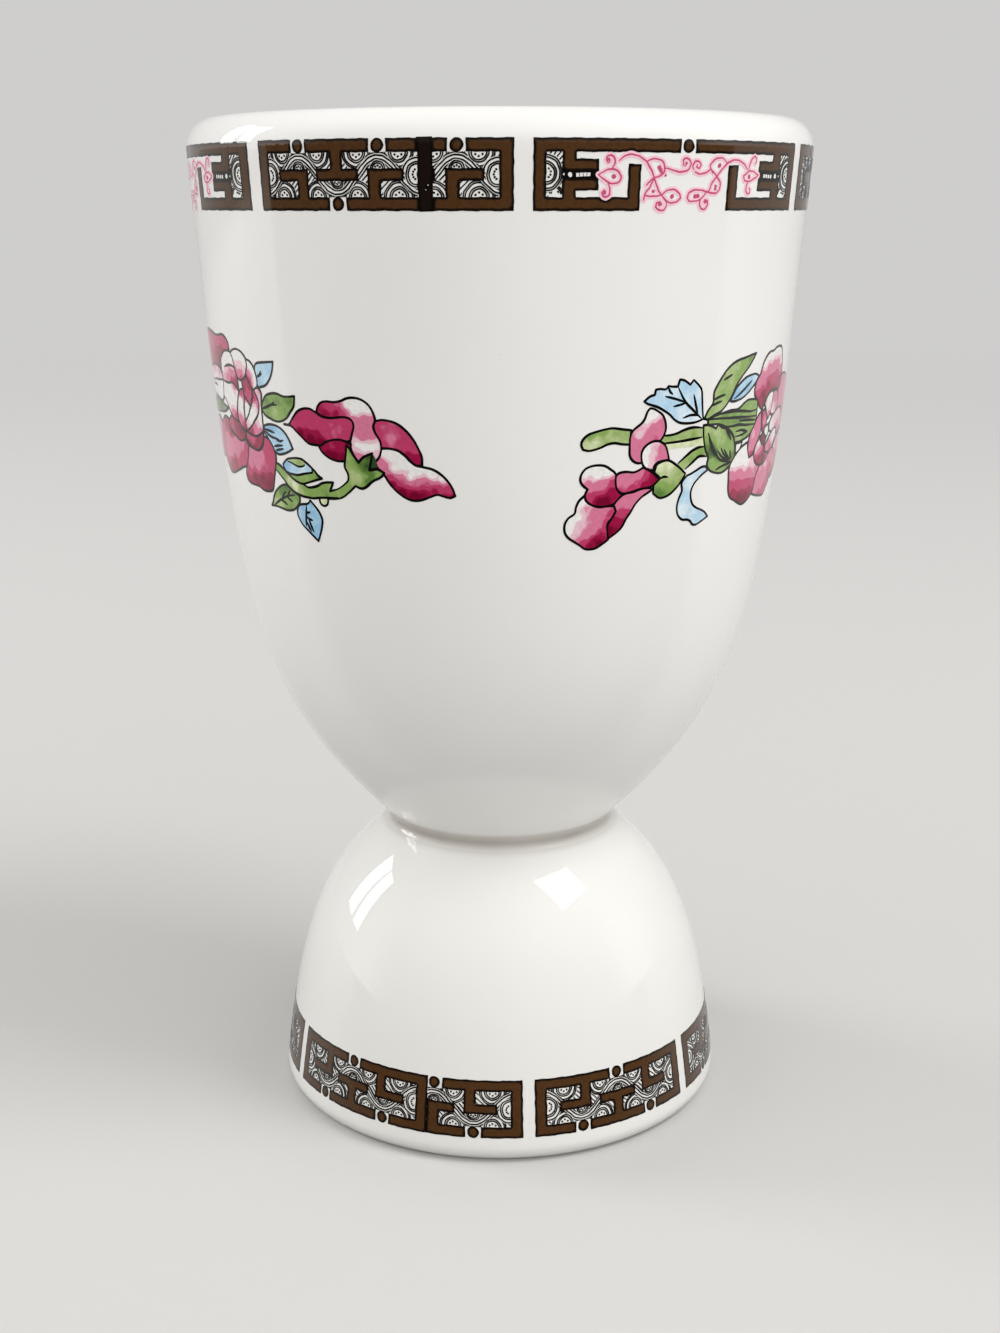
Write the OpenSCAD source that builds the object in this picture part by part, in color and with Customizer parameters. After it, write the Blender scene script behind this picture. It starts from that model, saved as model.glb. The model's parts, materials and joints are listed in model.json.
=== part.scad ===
// Double egg cup in glazed earthenware: a large cup and a small upturned cup, stuck
// foot to foot with slip, with key fret borders and flower sprays laid on as transfers.
// The origin is the centre of the ring that the small cup stands on, +Z runs up the
// axis of the cups, and -Y is the front, where two sprays and the border's seams meet.
// An azimuth is 0 at the front and grows to the right, seen from the front.

/* [Large cup] */
// Height of the whole egg cup
height = 98; // [88:0.5:110]
// Outer diameter just under the lip of the large cup
rim_d = 59.5; // [54:0.5:66]
// Wall of the large cup
wall = 3.4; // [2.6:0.1:4.2]
// Height of the rounding on the outside of the lip
lip_rise = 2.8; // [1.6:0.1:3.6]
// Depth of that rounding, from the outside in
lip_depth = 2.4; // [1.4:0.1:2.6]
// Height of the smaller rounding on the inside of the lip
lip_inner_rise = 2; // [1:0.1:3]
// Clay between the hollow of the large cup and the waist
large_floor = 6.2; // [4:0.1:9]
// Inward lean of the side below the lip, in degrees
side_lean = 4.3; // [2:0.1:7]

/* [Small cup] */
// Outer diameter of the small cup's lip, which is the foot here
foot_d = 45.8; // [42:0.2:50]
// Wall of the small cup
foot_wall = 3.3; // [2.6:0.1:4]
// Height of the rounding on the outside of the foot's lip
foot_rise = 1.7; // [1:0.1:2.4]
// Depth of that rounding, from the outside in
foot_depth = 1.6; // [0.9:0.1:1.8]
// Height of the smaller rounding on the inside of the foot's lip
foot_inner_rise = 1.4; // [0.8:0.1:2]
// Width of the flat ring that the egg cup stands on
rest_w = 0.8; // [0.4:0.1:1.2]
// Clay between the hollow of the small cup and the waist
small_floor = 5.4; // [3.6:0.1:7]
// Inward lean of the small cup's side above the foot, in degrees
foot_lean = 7; // [3:0.1:11]

/* [Waist] */
// Height at which the two cups are stuck together
waist_z = 28.8; // [26:0.1:32]
// Diameter where the two outsides would meet
waist_d = 22.3; // [19:0.1:26]
// Rise of the large cup's outside at the waist, in degrees
rise_up = 45.3; // [38:0.1:52]
// Fall of the small cup's outside at the waist, in degrees
fall_down = 37; // [31:0.1:43]
// Thickness of the slip between the two clay faces
slip_t = 0.5; // [0.3:0.05:0.8]
// Length of clay that the slip's fillet covers on each cup
fillet_reach = 1.1; // [0.8:0.05:1.5]

/* [Border transfers] */
// Thickness of a fired transfer
film_t = 0.15; // [0.1:0.01:0.25]
// Room left between a transfer and the glaze
film_gap = 0.01; // [0.01:0.005:0.03]
// Width of a bar of the fret
bar_w = 0.9; // [0.7:0.05:1.1]
// Diameter of a dot in the fret
dot_d = 1; // [0.8:0.05:1.2]
// Break in a bar that leaves room for a dot
dot_break = 1.4; // [1.3:0.05:1.8]
// Drop from the top of the lip to the rim border
rim_border_drop = 2.6; // [2:0.1:4]
// Height of the rim border
rim_border_h = 5.6; // [4.6:0.1:6.4]
// Height of the foot border above the resting ring
foot_border_z = 2.8; // [2:0.1:3.6]
// Height of the foot border
foot_border_h = 5.6; // [4.6:0.1:6.4]
// Gap between two fingers in an open panel
finger_gap = 0.55; // [0.4:0.05:0.8]
// Sweep of a closed panel of the rim border, in degrees
closed_sweep = 32.8; // [30:0.1:34]
// Sweep of an open panel of the rim border, in degrees
open_sweep = 56.2; // [54:0.1:58]
// Sweep of the bare glaze between two panels, in degrees
panel_gap_sweep = 3; // [2:0.1:4]
// Azimuth of the front seam in the rim border
rim_seam = -10.2; // [-20:0.1:0]
// Sweep of the cut panel that starts at that seam, in degrees
rim_cut_sweep = 12.4; // [10:0.1:20]
// Azimuth of the seam in the foot border
foot_seam = -18.5; // [-28:0.1:-8]
// Sweep of the cut panel that starts at the foot border's seam, in degrees
foot_cut_sweep = 24.2; // [20:0.1:30]

/* [Flower sprays] */
// Drop from the top of the lip to the lowest leaf
spray_drop = 38; // [36:0.5:41]
// Height of the band that a spray fills
spray_h = 20; // [17:0.5:22]
// Width of a spray, measured round the cup
spray_w = 34; // [30:0.5:35]
// Azimuth of the middle of the left front spray
left_spray_az = -41; // [-46:0.5:-40]
// Azimuth of the middle of the right front spray
right_spray_az = 47.5; // [43:0.5:50]

/* [Hidden] */

// Straight steps in a long curve, in a rounding and in a fillet
curve_steps = 38;
round_steps = 8;
fillet_steps = 10;
$fn = 96;

// Handles of the curves: each is a share of the height or radius that the curve spans
rim_handle_share = 0.69;
waist_handle_share = 0.29;
small_waist_handle_share = 0.353;
foot_handle_share = 0.46;
hollow_side_share = 0.82;
hollow_floor_share = 0.74;
small_hollow_side_share = 0.64;
small_hollow_floor_share = 0.8;

// Places in a fret panel, as shares of the panel's width from its middle
hook_share = 0.205;
hook_tip_share = 0.355;
tee_tip_share = 0.117;
dot_share = 0.226;
// Places in an open panel, as shares of its width from its end, and of its height
bracket_share = 0.33;
finger_post_share = 0.11;
finger_tip_share = 0.192;
bracket_rise_share = 0.64;

// Colours of the clay, the slip and the fired enamels
glaze_white = "#f1efe9";
slip_white = "#e2dfd6";
fret_brown = "#4b3226";
petal_crimson = "#b3436a";
leaf_green = "#8b9f5e";
leaf_blue = "#a9c7e2";

// Kinds of panel
CLOSED = 0;
OPEN = 1;

// A point at distance r and angle a
function polar(r, a) = [r * cos(a), r * sin(a)];

// Points of a cubic curve from a to d with handles b and c
function bezier(a, b, c, d) = [
    for (i = [0:curve_steps])
        let (t = i / curve_steps, s = 1 - t)
        s * s * s * a + 3 * s * s * t * b + 3 * s * t * t * c + t * t * t * d];

// Points of an elliptical rounding about c, from angle a0 to a1
function rounding(c, rx, ry, a0, a1, steps) = [
    for (i = [0:steps])
        let (a = a0 + (a1 - a0) * i / steps)
        [c.x + rx * cos(a), c.y + ry * sin(a)]];

// The waist: where the two outsides would meet, and where the fillet leaves each of them
waist = [waist_d / 2, waist_z];
fillet_top = waist + polar(fillet_reach, rise_up);
fillet_foot = waist + polar(fillet_reach, -fall_down);
large_face = waist + polar(slip_t / 2 / sin(rise_up), rise_up);
small_face = waist + polar(slip_t / 2 / sin(fall_down), -fall_down);

// The outside of the large cup, from the fillet up to the crown of the lip
rim_r = rim_d / 2;
large_h = height - lip_rise - waist_z;
large_side = bezier(
    fillet_top,
    fillet_top + polar(waist_handle_share * large_h, rise_up),
    [rim_r, height - lip_rise] - polar(rim_handle_share * large_h, 90 - side_lean),
    [rim_r, height - lip_rise]);
large_lip = rounding([rim_r - lip_depth, height - lip_rise], lip_depth, lip_rise, 0, 90, round_steps);
large_outside = concat(large_side, [for (i = [1:round_steps]) large_lip[i]]);

// The hollow of the large cup, from the crown of the lip down to its middle
hollow_r = rim_r - wall;
hollow_floor_z = waist_z + large_floor;
hollow_top_z = height - lip_inner_rise;
hollow_lip = rounding([rim_r - lip_depth, hollow_top_z], wall - lip_depth, lip_inner_rise,
    90, 180, round_steps);
hollow_side = bezier(
    [hollow_r, hollow_top_z],
    [hollow_r, hollow_top_z]
        - polar(hollow_side_share * (hollow_top_z - hollow_floor_z), 90 - side_lean),
    [hollow_floor_share * hollow_r, hollow_floor_z],
    [0, hollow_floor_z]);

// The outside of the small cup, from the fillet down to the resting ring
foot_r = foot_d / 2;
small_h = waist_z - foot_rise;
small_side = bezier(
    fillet_foot,
    fillet_foot + polar(small_waist_handle_share * small_h, -fall_down),
    [foot_r, foot_rise] + polar(foot_handle_share * small_h, 90 + foot_lean),
    [foot_r, foot_rise]);
small_lip = rounding([foot_r - foot_depth, foot_rise], foot_depth, foot_rise, 0, -90, round_steps);
small_outside = concat(small_side, [for (i = [1:round_steps]) small_lip[i]]);

// The hollow of the small cup, from its middle down to the resting ring
small_hollow_r = foot_r - foot_wall;
small_hollow_z = waist_z - small_floor;
small_hollow_h = small_hollow_z - foot_inner_rise;
small_hollow_side = bezier(
    [0, small_hollow_z],
    [small_hollow_floor_share * small_hollow_r, small_hollow_z],
    [small_hollow_r, foot_inner_rise]
        + polar(small_hollow_side_share * small_hollow_h, 90 + foot_lean),
    [small_hollow_r, foot_inner_rise]);
rest_inner_r = foot_r - foot_depth - rest_w;
small_hollow_lip = rounding([rest_inner_r, foot_inner_rise], rest_inner_r - small_hollow_r,
    foot_inner_rise, 180, 270, round_steps);

// The visible fillet of slip, a hollow arc that runs smoothly into both cups
fillet_half = (rise_up + fall_down) / 2;
fillet_r = fillet_reach * tan(fillet_half);
fillet_mid = waist + polar(fillet_reach / cos(fillet_half), (rise_up - fall_down) / 2);
fillet_arc = rounding(fillet_mid, fillet_r, fillet_r, 270 - fall_down, 90 + rise_up, fillet_steps);

// Radius of an outside at height z
function radius_at(outside, z) = lookup(z, [for (p = outside) [p.y, p.x]]);

// The stretch of an outside between two heights, moved out by a distance
function skin(outside, z0, z1, out) = concat(
    [[radius_at(outside, z0) + out, z0]],
    [for (p = outside) if (p.y > z0 && p.y < z1) [p.x + out, p.y]],
    [[radius_at(outside, z1) + out, z1]]);

// Turns a list end for end
function reversed(v) = [for (i = [len(v) - 1:-1:0]) v[i]];

// Degrees that a length takes up round a cup of radius r
function sweep_of(s, r) = s / r * 180 / PI;

// Length round a cup of radius r that a sweep takes up
function length_of(sweep, r) = sweep * PI * r / 180;

// Where a point at distance s round the cup lies, seen square on from the front
function wrap(s, r) = r * sin(sweep_of(s, r));
function wrapped(points, r) = [for (p = points) [wrap(p.x, r), p.y]];

// A thin sleeve that lies on an outside between two heights, listed from the foot up
module sleeve(outside, z0, z1) {
    rotate_extrude()
        polygon(concat(
            skin(outside, z0, z1, film_gap),
            reversed(skin(outside, z0, z1, film_gap + film_t))));
}

// Cuts what is drawn flat out of a sleeve: the drawing faces the azimuth, and its
// own origin is at height z
start_share = 0.75;
depth_share = 0.5;
module transfer(outside, z0, z1, azimuth, z, r) {
    intersection() {
        sleeve(outside, z0, z1);
        translate([0, 0, z])
            rotate([90, 0, azimuth])
                translate([0, 0, r * start_share])
                    linear_extrude(r * depth_share)
                        children();
    }
}

// A straight bar of the fret, from corner a to corner b, wrapped at radius r
module bar(a, b, r) {
    polygon(wrapped([a, [b.x, a.y], b, [a.x, b.y]], r));
}

// A dot of the fret
module dot(s, z, r) {
    translate([wrap(s, r), z])
        circle(d = dot_d);
}

// A level bar from a to b at height z, with a break at each place in the list
module broken_bar(a, b, z, breaks, r) {
    starts = concat([a], [for (s = breaks) s + dot_break / 2]);
    ends = concat([for (s = breaks) s - dot_break / 2], [b]);
    for (i = [0:len(starts) - 1])
        bar([starts[i], z], [ends[i], z + bar_w], r);
}

// The end bar of a panel and one of the two hooks that stand in it
module hook_side(w, h, side, r) {
    mid = (h - bar_w) / 2;
    end = side * w / 2;
    post = side * hook_share * w;
    bar([end - side * bar_w, 0], [end, h], r);
    bar([post - bar_w / 2, 0], [post + bar_w / 2, mid + bar_w], r);
    bar([post - side * bar_w / 2, mid], [side * hook_tip_share * w, mid + bar_w], r);
    dot(side * dot_share * w, h - bar_w / 2, r);
}

// A closed panel: a frame, two hooks that stand up, a tee that hangs down, three dots
module closed_panel(w, h, r) {
    mid = (h - bar_w) / 2;
    broken_bar(-w / 2, w / 2, h - bar_w, [-dot_share * w, dot_share * w], r);
    broken_bar(-w / 2, w / 2, 0, [0], r);
    dot(0, bar_w / 2, r);
    bar([-bar_w / 2, mid], [bar_w / 2, h], r);
    bar([-tee_tip_share * w, mid], [tee_tip_share * w, mid + bar_w], r);
    for (side = [-1, 1])
        hook_side(w, h, side, r);
}

// One end of an open panel: the end bar, the bracket under it and the pair of fingers
module finger_side(w, h, side, r) {
    end = side * w / 2;
    post = end - side * finger_post_share * w;
    tip = end - side * finger_tip_share * w;
    bracket = end - side * bracket_share * w;
    bar([end - side * bar_w, 0], [end, h], r);
    bar([bracket, 0], [end, bar_w], r);
    bar([bracket, 0], [bracket + side * bar_w, bracket_rise_share * h], r);
    bar([post - bar_w / 2, 0], [post + bar_w / 2, h], r);
    for (z = [(h - finger_gap) / 2 - bar_w, (h + finger_gap) / 2])
        bar([post, z], [tip, z + bar_w], r);
}

// An open panel: a top bar with a dot in its middle, and a fingered bracket at each end
module open_panel(w, h, r) {
    broken_bar(-w / 2, w / 2, h - bar_w, [0], r);
    dot(0, h - bar_w / 2, r);
    for (side = [-1, 1])
        finger_side(w, h, side, r);
}

// What is left of a panel of width w when only the stretch from a to b is laid on
module cut_panel(a, b, h, r) {
    intersection() {
        bar([a, -bar_w], [b, h + bar_w], r);
        children();
    }
}

// Radius and height at which each border is drawn
rim_border_z = height - rim_border_drop - rim_border_h;
rim_border_r = radius_at(large_outside, rim_border_z + rim_border_h / 2);
foot_border_r = radius_at(small_outside, foot_border_z + foot_border_h / 2);
closed_w = length_of(closed_sweep, rim_border_r);
open_w = length_of(open_sweep, rim_border_r);

// Places the middle of a panel at an azimuth on the rim border
module on_rim(azimuth) {
    transfer(large_outside, rim_border_z - dot_d, rim_border_z + rim_border_h + dot_d,
        azimuth, rim_border_z, rim_border_r)
        children();
}

// The same on the foot border, where the drawing stands on its head
module on_foot(azimuth) {
    transfer(reversed(small_outside), foot_border_z - dot_d,
        foot_border_z + foot_border_h + dot_d, azimuth, foot_border_z, foot_border_r)
        translate([0, foot_border_h])
            mirror([0, 1])
                children();
}

// A whole panel of the rim border that starts at an azimuth
module rim_panel(kind, start) {
    if (kind == CLOSED)
        on_rim(start + closed_sweep / 2)
            closed_panel(closed_w, rim_border_h, rim_border_r);
    else
        on_rim(start + open_sweep / 2)
            open_panel(open_w, rim_border_h, rim_border_r);
}

// Azimuth at which panel i of a strip starts
function sweep_of_kind(kind) = kind == CLOSED ? closed_sweep : open_sweep;
function panel_start(kinds, start, i) = i == 0 ? start
    : panel_start(kinds, start, i - 1) + sweep_of_kind(kinds[i - 1]) + panel_gap_sweep;

// The right strip starts at the front seam, the left strip ends there
right_kinds = [OPEN, CLOSED, OPEN, CLOSED, OPEN];
left_kinds = [CLOSED, OPEN, CLOSED];
right_start = rim_seam + rim_cut_sweep + panel_gap_sweep;
left_sweep = 2 * closed_sweep + open_sweep + 2 * panel_gap_sweep;
left_start = 360 + rim_seam - left_sweep;
last_right = len(right_kinds) - 1;
last_right_start = panel_start(right_kinds, right_start, last_right);
back_cut_w = length_of(left_start - panel_gap_sweep - last_right_start, rim_border_r);

// Stretches of bare clay are left between whole panels of the foot border
foot_panels = 7;
foot_sweep = (360 - foot_cut_sweep) / foot_panels - panel_gap_sweep;
foot_panel_w = length_of(foot_sweep, foot_border_r);

// A leaf or petal on a straight or bowed midline: blunt is 1 for a pointed leaf, and
// smaller for a rounder petal
blade_steps = 9;
function blade(base, length, width, direction, bow, blunt) =
    let (
        along = polar(length, direction),
        across = polar(1, direction + 90),
        mid = [for (i = [0:blade_steps])
            let (t = i / blade_steps)
            base + along * t + across * bow * length * 4 * t * (1 - t)],
        half = [for (i = [0:blade_steps])
            let (s = sin(180 * i / blade_steps))
            width / 2 * (s <= 0 ? 0 : pow(s, blunt))])
    concat(
        [for (i = [0:blade_steps]) mid[i] - across * half[i]],
        [for (i = [blade_steps - 1:-1:1]) mid[i] + across * half[i]]);

// Rows of a spray, each a leaf or petal: base across and up, length, width, direction
// in degrees, bow. Places across are shares of the spray's width, and all else of its
// height.
left_petal_shares = [
    [0.326, 0.50, 0.26, 0.28, -90, 0], [0.234, 0.53, 0.32, 0.26, -140, 0],
    [0.270, 0.44, 0.43, 0.40, 90, 0], [0.177, 0.55, 0.31, 0.27, 90, 0],
    [0.227, 0.82, 0.37, 0.16, 180, 0], [0.700, 0.59, 0.40, 0.15, 181, -0.03],
    [0.730, 0.44, 0.28, 0.16, 97, 0], [0.715, 0.66, 0.22, 0.09, 176, 0.05],
    [0.680, 0.48, 0.17, 0.10, 182, 0], [0.765, 0.58, 0.25, 0.12, -32, 0.08],
    [0.772, 0.43, 0.37, 0.13, -25, -0.04]];
left_leaf_shares = [
    [0.380, 0.62, 0.25, 0.12, 18, 0], [0.410, 0.39, 0.47, 0.06, -8, -0.10],
    [0.500, 0.27, 0.25, 0.11, 198, 0], [0.712, 0.31, 0.19, 0.17, 85, 0],
    [0.715, 0.33, 0.16, 0.07, 24, 0]];
left_blue_shares = [
    [0.360, 0.76, 0.18, 0.09, 32, 0], [0.380, 0.57, 0.22, 0.10, -27, 0.06],
    [0.446, 0.36, 0.24, 0.11, -4, 0.10], [0.517, 0.25, 0.21, 0.13, -72, 0]];
right_petal_shares = [
    [0.127, 0.27, 0.26, 0.21, -125, 0], [0.140, 0.30, 0.21, 0.15, 150, 0],
    [0.248, 0.36, 0.20, 0.09, 182, 0], [0.240, 0.31, 0.26, 0.09, 228, -0.06],
    [0.248, 0.39, 0.14, 0.13, 100, 0], [0.200, 0.44, 0.24, 0.16, 75, 0],
    [0.710, 0.62, 0.27, 0.31, 85, 0], [0.640, 0.41, 0.25, 0.28, -105, 0],
    [0.700, 0.37, 0.26, 0.20, -40, 0], [0.722, 0.34, 0.33, 0.30, 90, 0],
    [0.770, 0.58, 0.30, 0.28, -5, 0]];
right_leaf_shares = [
    [0.170, 0.56, 0.23, 0.07, 181, -0.08], [0.270, 0.53, 0.24, 0.06, 2, 0.04],
    [0.312, 0.40, 0.20, 0.07, 20, 0.06], [0.350, 0.36, 0.18, 0.15, 182, 0],
    [0.410, 0.61, 0.40, 0.13, 38, 0.05], [0.410, 0.59, 0.42, 0.08, 3, 0],
    [0.410, 0.57, 0.40, 0.07, -6, 0], [0.404, 0.56, 0.29, 0.15, -38, 0]];
right_blue_shares = [
    [0.397, 0.60, 0.35, 0.13, 162, -0.08], [0.500, 0.68, 0.22, 0.09, 20, 0.04],
    [0.410, 0.36, 0.23, 0.07, -72, -0.20]];
leaf_blunt = 1;
petal_blunt = 0.6;

// Height and radius at which the sprays are drawn
spray_z = height - spray_drop;
spray_r = radius_at(large_outside, spray_z + spray_h / 2);

// Draws every row of a table flat, about the middle of the spray
module blades(rows, blunt) {
    for (row = rows)
        polygon(wrapped(
            blade([(row[0] - 1 / 2) * spray_w, row[1] * spray_h], row[2] * spray_h,
                row[3] * spray_h, row[4], row[5], blunt),
            spray_r));
}

// Places a flat drawing on the large cup at a spray's azimuth
module on_cup(azimuth) {
    transfer(large_outside, spray_z - bar_w, spray_z + spray_h + bar_w, azimuth, spray_z,
        spray_r)
        children();
}

// A spray: petals over leaves, and blue leaves behind both
module spray(azimuth, petals, leaves, blues) {
    color(petal_crimson)
        on_cup(azimuth)
            blades(petals, petal_blunt);
    color(leaf_green)
        on_cup(azimuth)
            difference() {
                blades(leaves, leaf_blunt);
                blades(petals, petal_blunt);
            }
    color(leaf_blue)
        on_cup(azimuth)
            difference() {
                blades(blues, leaf_blunt);
                blades(leaves, leaf_blunt);
                blades(petals, petal_blunt);
            }
}

module left_spray(azimuth) {
    spray(azimuth, left_petal_shares, left_leaf_shares, left_blue_shares);
}

module right_spray(azimuth) {
    spray(azimuth, right_petal_shares, right_leaf_shares, right_blue_shares);
}

// The large cup, thrown with a rounded lip and a flat face at the waist
module large_cup() {
    color(glaze_white)
        rotate_extrude()
            polygon(concat(
                [[0, large_face.y], large_face],
                large_outside,
                [for (i = [1:round_steps]) hollow_lip[i]],
                [for (i = [1:curve_steps]) hollow_side[i]]));
}

// The small cup, upside down, with a flat face at the waist and a flat resting ring
module small_cup() {
    color(glaze_white)
        rotate_extrude()
            polygon(concat(
                [[0, small_face.y], small_face],
                small_outside,
                reversed(small_hollow_lip),
                reversed([for (i = [0:curve_steps - 1]) small_hollow_side[i]])));
}

// The slip that sticks the cups together, with its fillet wiped smooth round the waist
module slip_joint() {
    color(slip_white)
        rotate_extrude()
            polygon(concat(
                [[0, small_face.y], small_face],
                fillet_arc,
                [large_face, [0, large_face.y]]));
}

// The strip of the rim border that starts at the front seam and runs to the right
module rim_border_right() {
    color(fret_brown) {
        on_rim(rim_seam + rim_cut_sweep - closed_sweep / 2)
            cut_panel(closed_w / 2 - length_of(rim_cut_sweep, rim_border_r), closed_w / 2,
                rim_border_h, rim_border_r)
                closed_panel(closed_w, rim_border_h, rim_border_r);
        for (i = [0:last_right - 1])
            rim_panel(right_kinds[i], panel_start(right_kinds, right_start, i));
        on_rim(last_right_start + open_sweep / 2)
            cut_panel(-open_w / 2, back_cut_w - open_w / 2, rim_border_h, rim_border_r)
                open_panel(open_w, rim_border_h, rim_border_r);
    }
}

// The strip of the rim border that ends at the front seam
module rim_border_left() {
    color(fret_brown)
        for (i = [0:len(left_kinds) - 1])
            rim_panel(left_kinds[i], panel_start(left_kinds, left_start, i));
}

// The foot border, one strip of closed panels drawn upside down, with one seam
module foot_border() {
    first = foot_seam + foot_cut_sweep + panel_gap_sweep;
    color(fret_brown) {
        on_foot(foot_seam + foot_cut_sweep - foot_sweep / 2)
            cut_panel(foot_panel_w / 2 - length_of(foot_cut_sweep, foot_border_r),
                foot_panel_w / 2, foot_border_h, foot_border_r)
                closed_panel(foot_panel_w, foot_border_h, foot_border_r);
        for (i = [0:foot_panels - 1])
            on_foot(first + i * (foot_sweep + panel_gap_sweep) + foot_sweep / 2)
                closed_panel(foot_panel_w, foot_border_h, foot_border_r);
    }
}

module front_left_spray() {
    left_spray(left_spray_az);
}

module front_right_spray() {
    right_spray(right_spray_az);
}

// The back repeats the front, half a turn on
module back_left_spray() {
    right_spray(right_spray_az + 180);
}

module back_right_spray() {
    left_spray(left_spray_az + 180);
}

large_cup();
small_cup();
slip_joint();
rim_border_right();
rim_border_left();
foot_border();
front_left_spray();
front_right_spray();
back_left_spray();
back_right_spray();
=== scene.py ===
"""Looks of the double egg cup: its glaze, its key fret borders and its flower sprays.

Sizes are millimetres until a mesh is made, heights are measured from the resting ring,
and an azimuth is 0 at the front (-Y) and grows to the right. Each transfer is drawn flat
on a sheet, whose x runs round the cup and whose y is the height, and is then wrapped
round the cup that carries it.
"""

import json
import logging
import math
from dataclasses import dataclass, field
from enum import Enum

import bpy
import numpy as np
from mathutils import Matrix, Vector
from mathutils.geometry import delaunay_2d_cdt

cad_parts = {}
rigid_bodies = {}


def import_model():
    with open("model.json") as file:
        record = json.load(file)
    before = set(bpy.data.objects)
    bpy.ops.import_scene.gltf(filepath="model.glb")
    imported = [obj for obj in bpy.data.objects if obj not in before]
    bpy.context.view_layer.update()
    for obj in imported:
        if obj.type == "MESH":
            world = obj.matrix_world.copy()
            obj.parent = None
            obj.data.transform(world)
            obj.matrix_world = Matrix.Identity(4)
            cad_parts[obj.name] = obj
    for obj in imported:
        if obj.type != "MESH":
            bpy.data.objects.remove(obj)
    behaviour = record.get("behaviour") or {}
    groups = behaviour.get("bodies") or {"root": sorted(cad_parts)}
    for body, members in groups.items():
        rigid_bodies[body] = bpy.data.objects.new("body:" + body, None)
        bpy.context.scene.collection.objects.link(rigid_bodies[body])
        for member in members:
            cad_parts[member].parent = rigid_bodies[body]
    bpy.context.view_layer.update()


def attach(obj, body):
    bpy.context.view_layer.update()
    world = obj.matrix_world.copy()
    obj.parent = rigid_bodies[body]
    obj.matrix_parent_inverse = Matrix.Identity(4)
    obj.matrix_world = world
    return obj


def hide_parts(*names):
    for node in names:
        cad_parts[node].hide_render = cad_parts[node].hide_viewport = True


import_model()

Tree, Socket, Mesh = bpy.types.NodeTree, bpy.types.NodeSocket, bpy.types.Mesh

MM = 0.001
UP, FRONT = (0.0, 0.0, 1.0), (0.0, -1.0, 0.0)
BODY = "root"
# Points of a turned mesh, and of a sheet, that are closer than these are one
SAME_POINT_MM = 0.0005
SAME_PLACE = 1e-4
# Triangles under this area are left out
LEAST_AREA = 1e-9
# A step of a curve, a length and the square of one count as this much at least in a division
LEAST_STEP = 1e-6
LEAST_LENGTH = 1e-9
LEAST_SQUARE = 1e-12
# Tone of an even coat
EVEN_TONE = 0.5
# Added to the square of the distance to a tone point, and the power by which its weight falls with it
NEAREST_GAP = 1e-3
NEARNESS = 1.6
# Turns of a drawn line, and edges of a turned piece, that are sharper than these many degrees are corners
SHARP_TURN = 28.0
SHARP_EDGE = 34.0
log = logging.getLogger("egg_cup")


class Enamel(Enum):
    """What a mark of a transfer is printed or painted in, from the first to the last coat."""

    BARE = "bare"
    LINE = "lines"
    BLUSH = "scroll_blush"
    SCROLL = "scrolls"
    BROWN = "bars"
    OVERLAP = "overlap"
    BLUE = "blue_leaves"
    GREEN = "green_leaves"
    PETAL = "petals"
    BLACK = "outlines"


Meshes = dict[Enamel, list[Mesh]]


class Panel(Enum):
    """The two panels of the key fret."""

    CLOSED = "closed"
    OPEN = "open"


# Colour and nodes

def linear(colour: str) -> tuple[float, float, float, float]:
    """Turns an sRGB hex colour to linear light.

    Args:
        colour: The colour, such as "#f1efe9".

    Returns:
        Red, green, blue and an alpha of one.
    """
    parts = [int(colour[i:i + 2], 16) / 255 for i in (1, 3, 5)]
    return (*[c / 12.92 if c <= 0.04045 else ((c + 0.055) / 1.055) ** 2.4 for c in parts], 1.0)


def add_node(tree: Tree, kind: str, inputs: dict | None = None, **settings) -> bpy.types.Node:
    """Adds a node with its settings and links.

    Args:
        tree: The tree that gets the node.
        kind: The node's type.
        inputs: A value or another node's output for each input, by name or number.
        **settings: Properties of the node.

    Returns:
        The node.
    """
    node = tree.nodes.new(kind)
    for name, value in settings.items():
        setattr(node, name, value)
    for key, value in (inputs or {}).items():
        if isinstance(value, Socket):
            tree.links.new(value, node.inputs[key])
        else:
            node.inputs[key].default_value = value
    return node


def fill_ramp(ramp: bpy.types.ColorRamp, bands: tuple[tuple[float, str], ...], soft: float) -> None:
    """Gives a ramp flat bands of colour with soft steps between them.

    Args:
        ramp: The ramp to fill.
        bands: The tone at which each band starts, and its colour.
        soft: Width of a step, in tone.
    """
    stops = [bands[0]]
    for (_, before), (start, colour) in zip(bands, bands[1:]):
        stops += [(start - soft / 2, before), (start + soft / 2, colour)]
    while len(ramp.elements) > 1:
        ramp.elements.remove(ramp.elements[-1])
    ramp.elements[0].position, ramp.elements[0].color = stops[0][0], linear(stops[0][1])
    for position, colour in stops[1:]:
        ramp.elements.new(position).color = linear(colour)


def put(name: str, data: bpy.types.ID) -> bpy.types.Object:
    """Puts a mesh, lamp or camera in the scene.

    Args:
        name: The name of its object.
        data: The mesh, lamp or camera.

    Returns:
        The object.
    """
    made = bpy.data.objects.new(name, data)
    bpy.context.scene.collection.objects.link(made)
    return made


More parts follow.
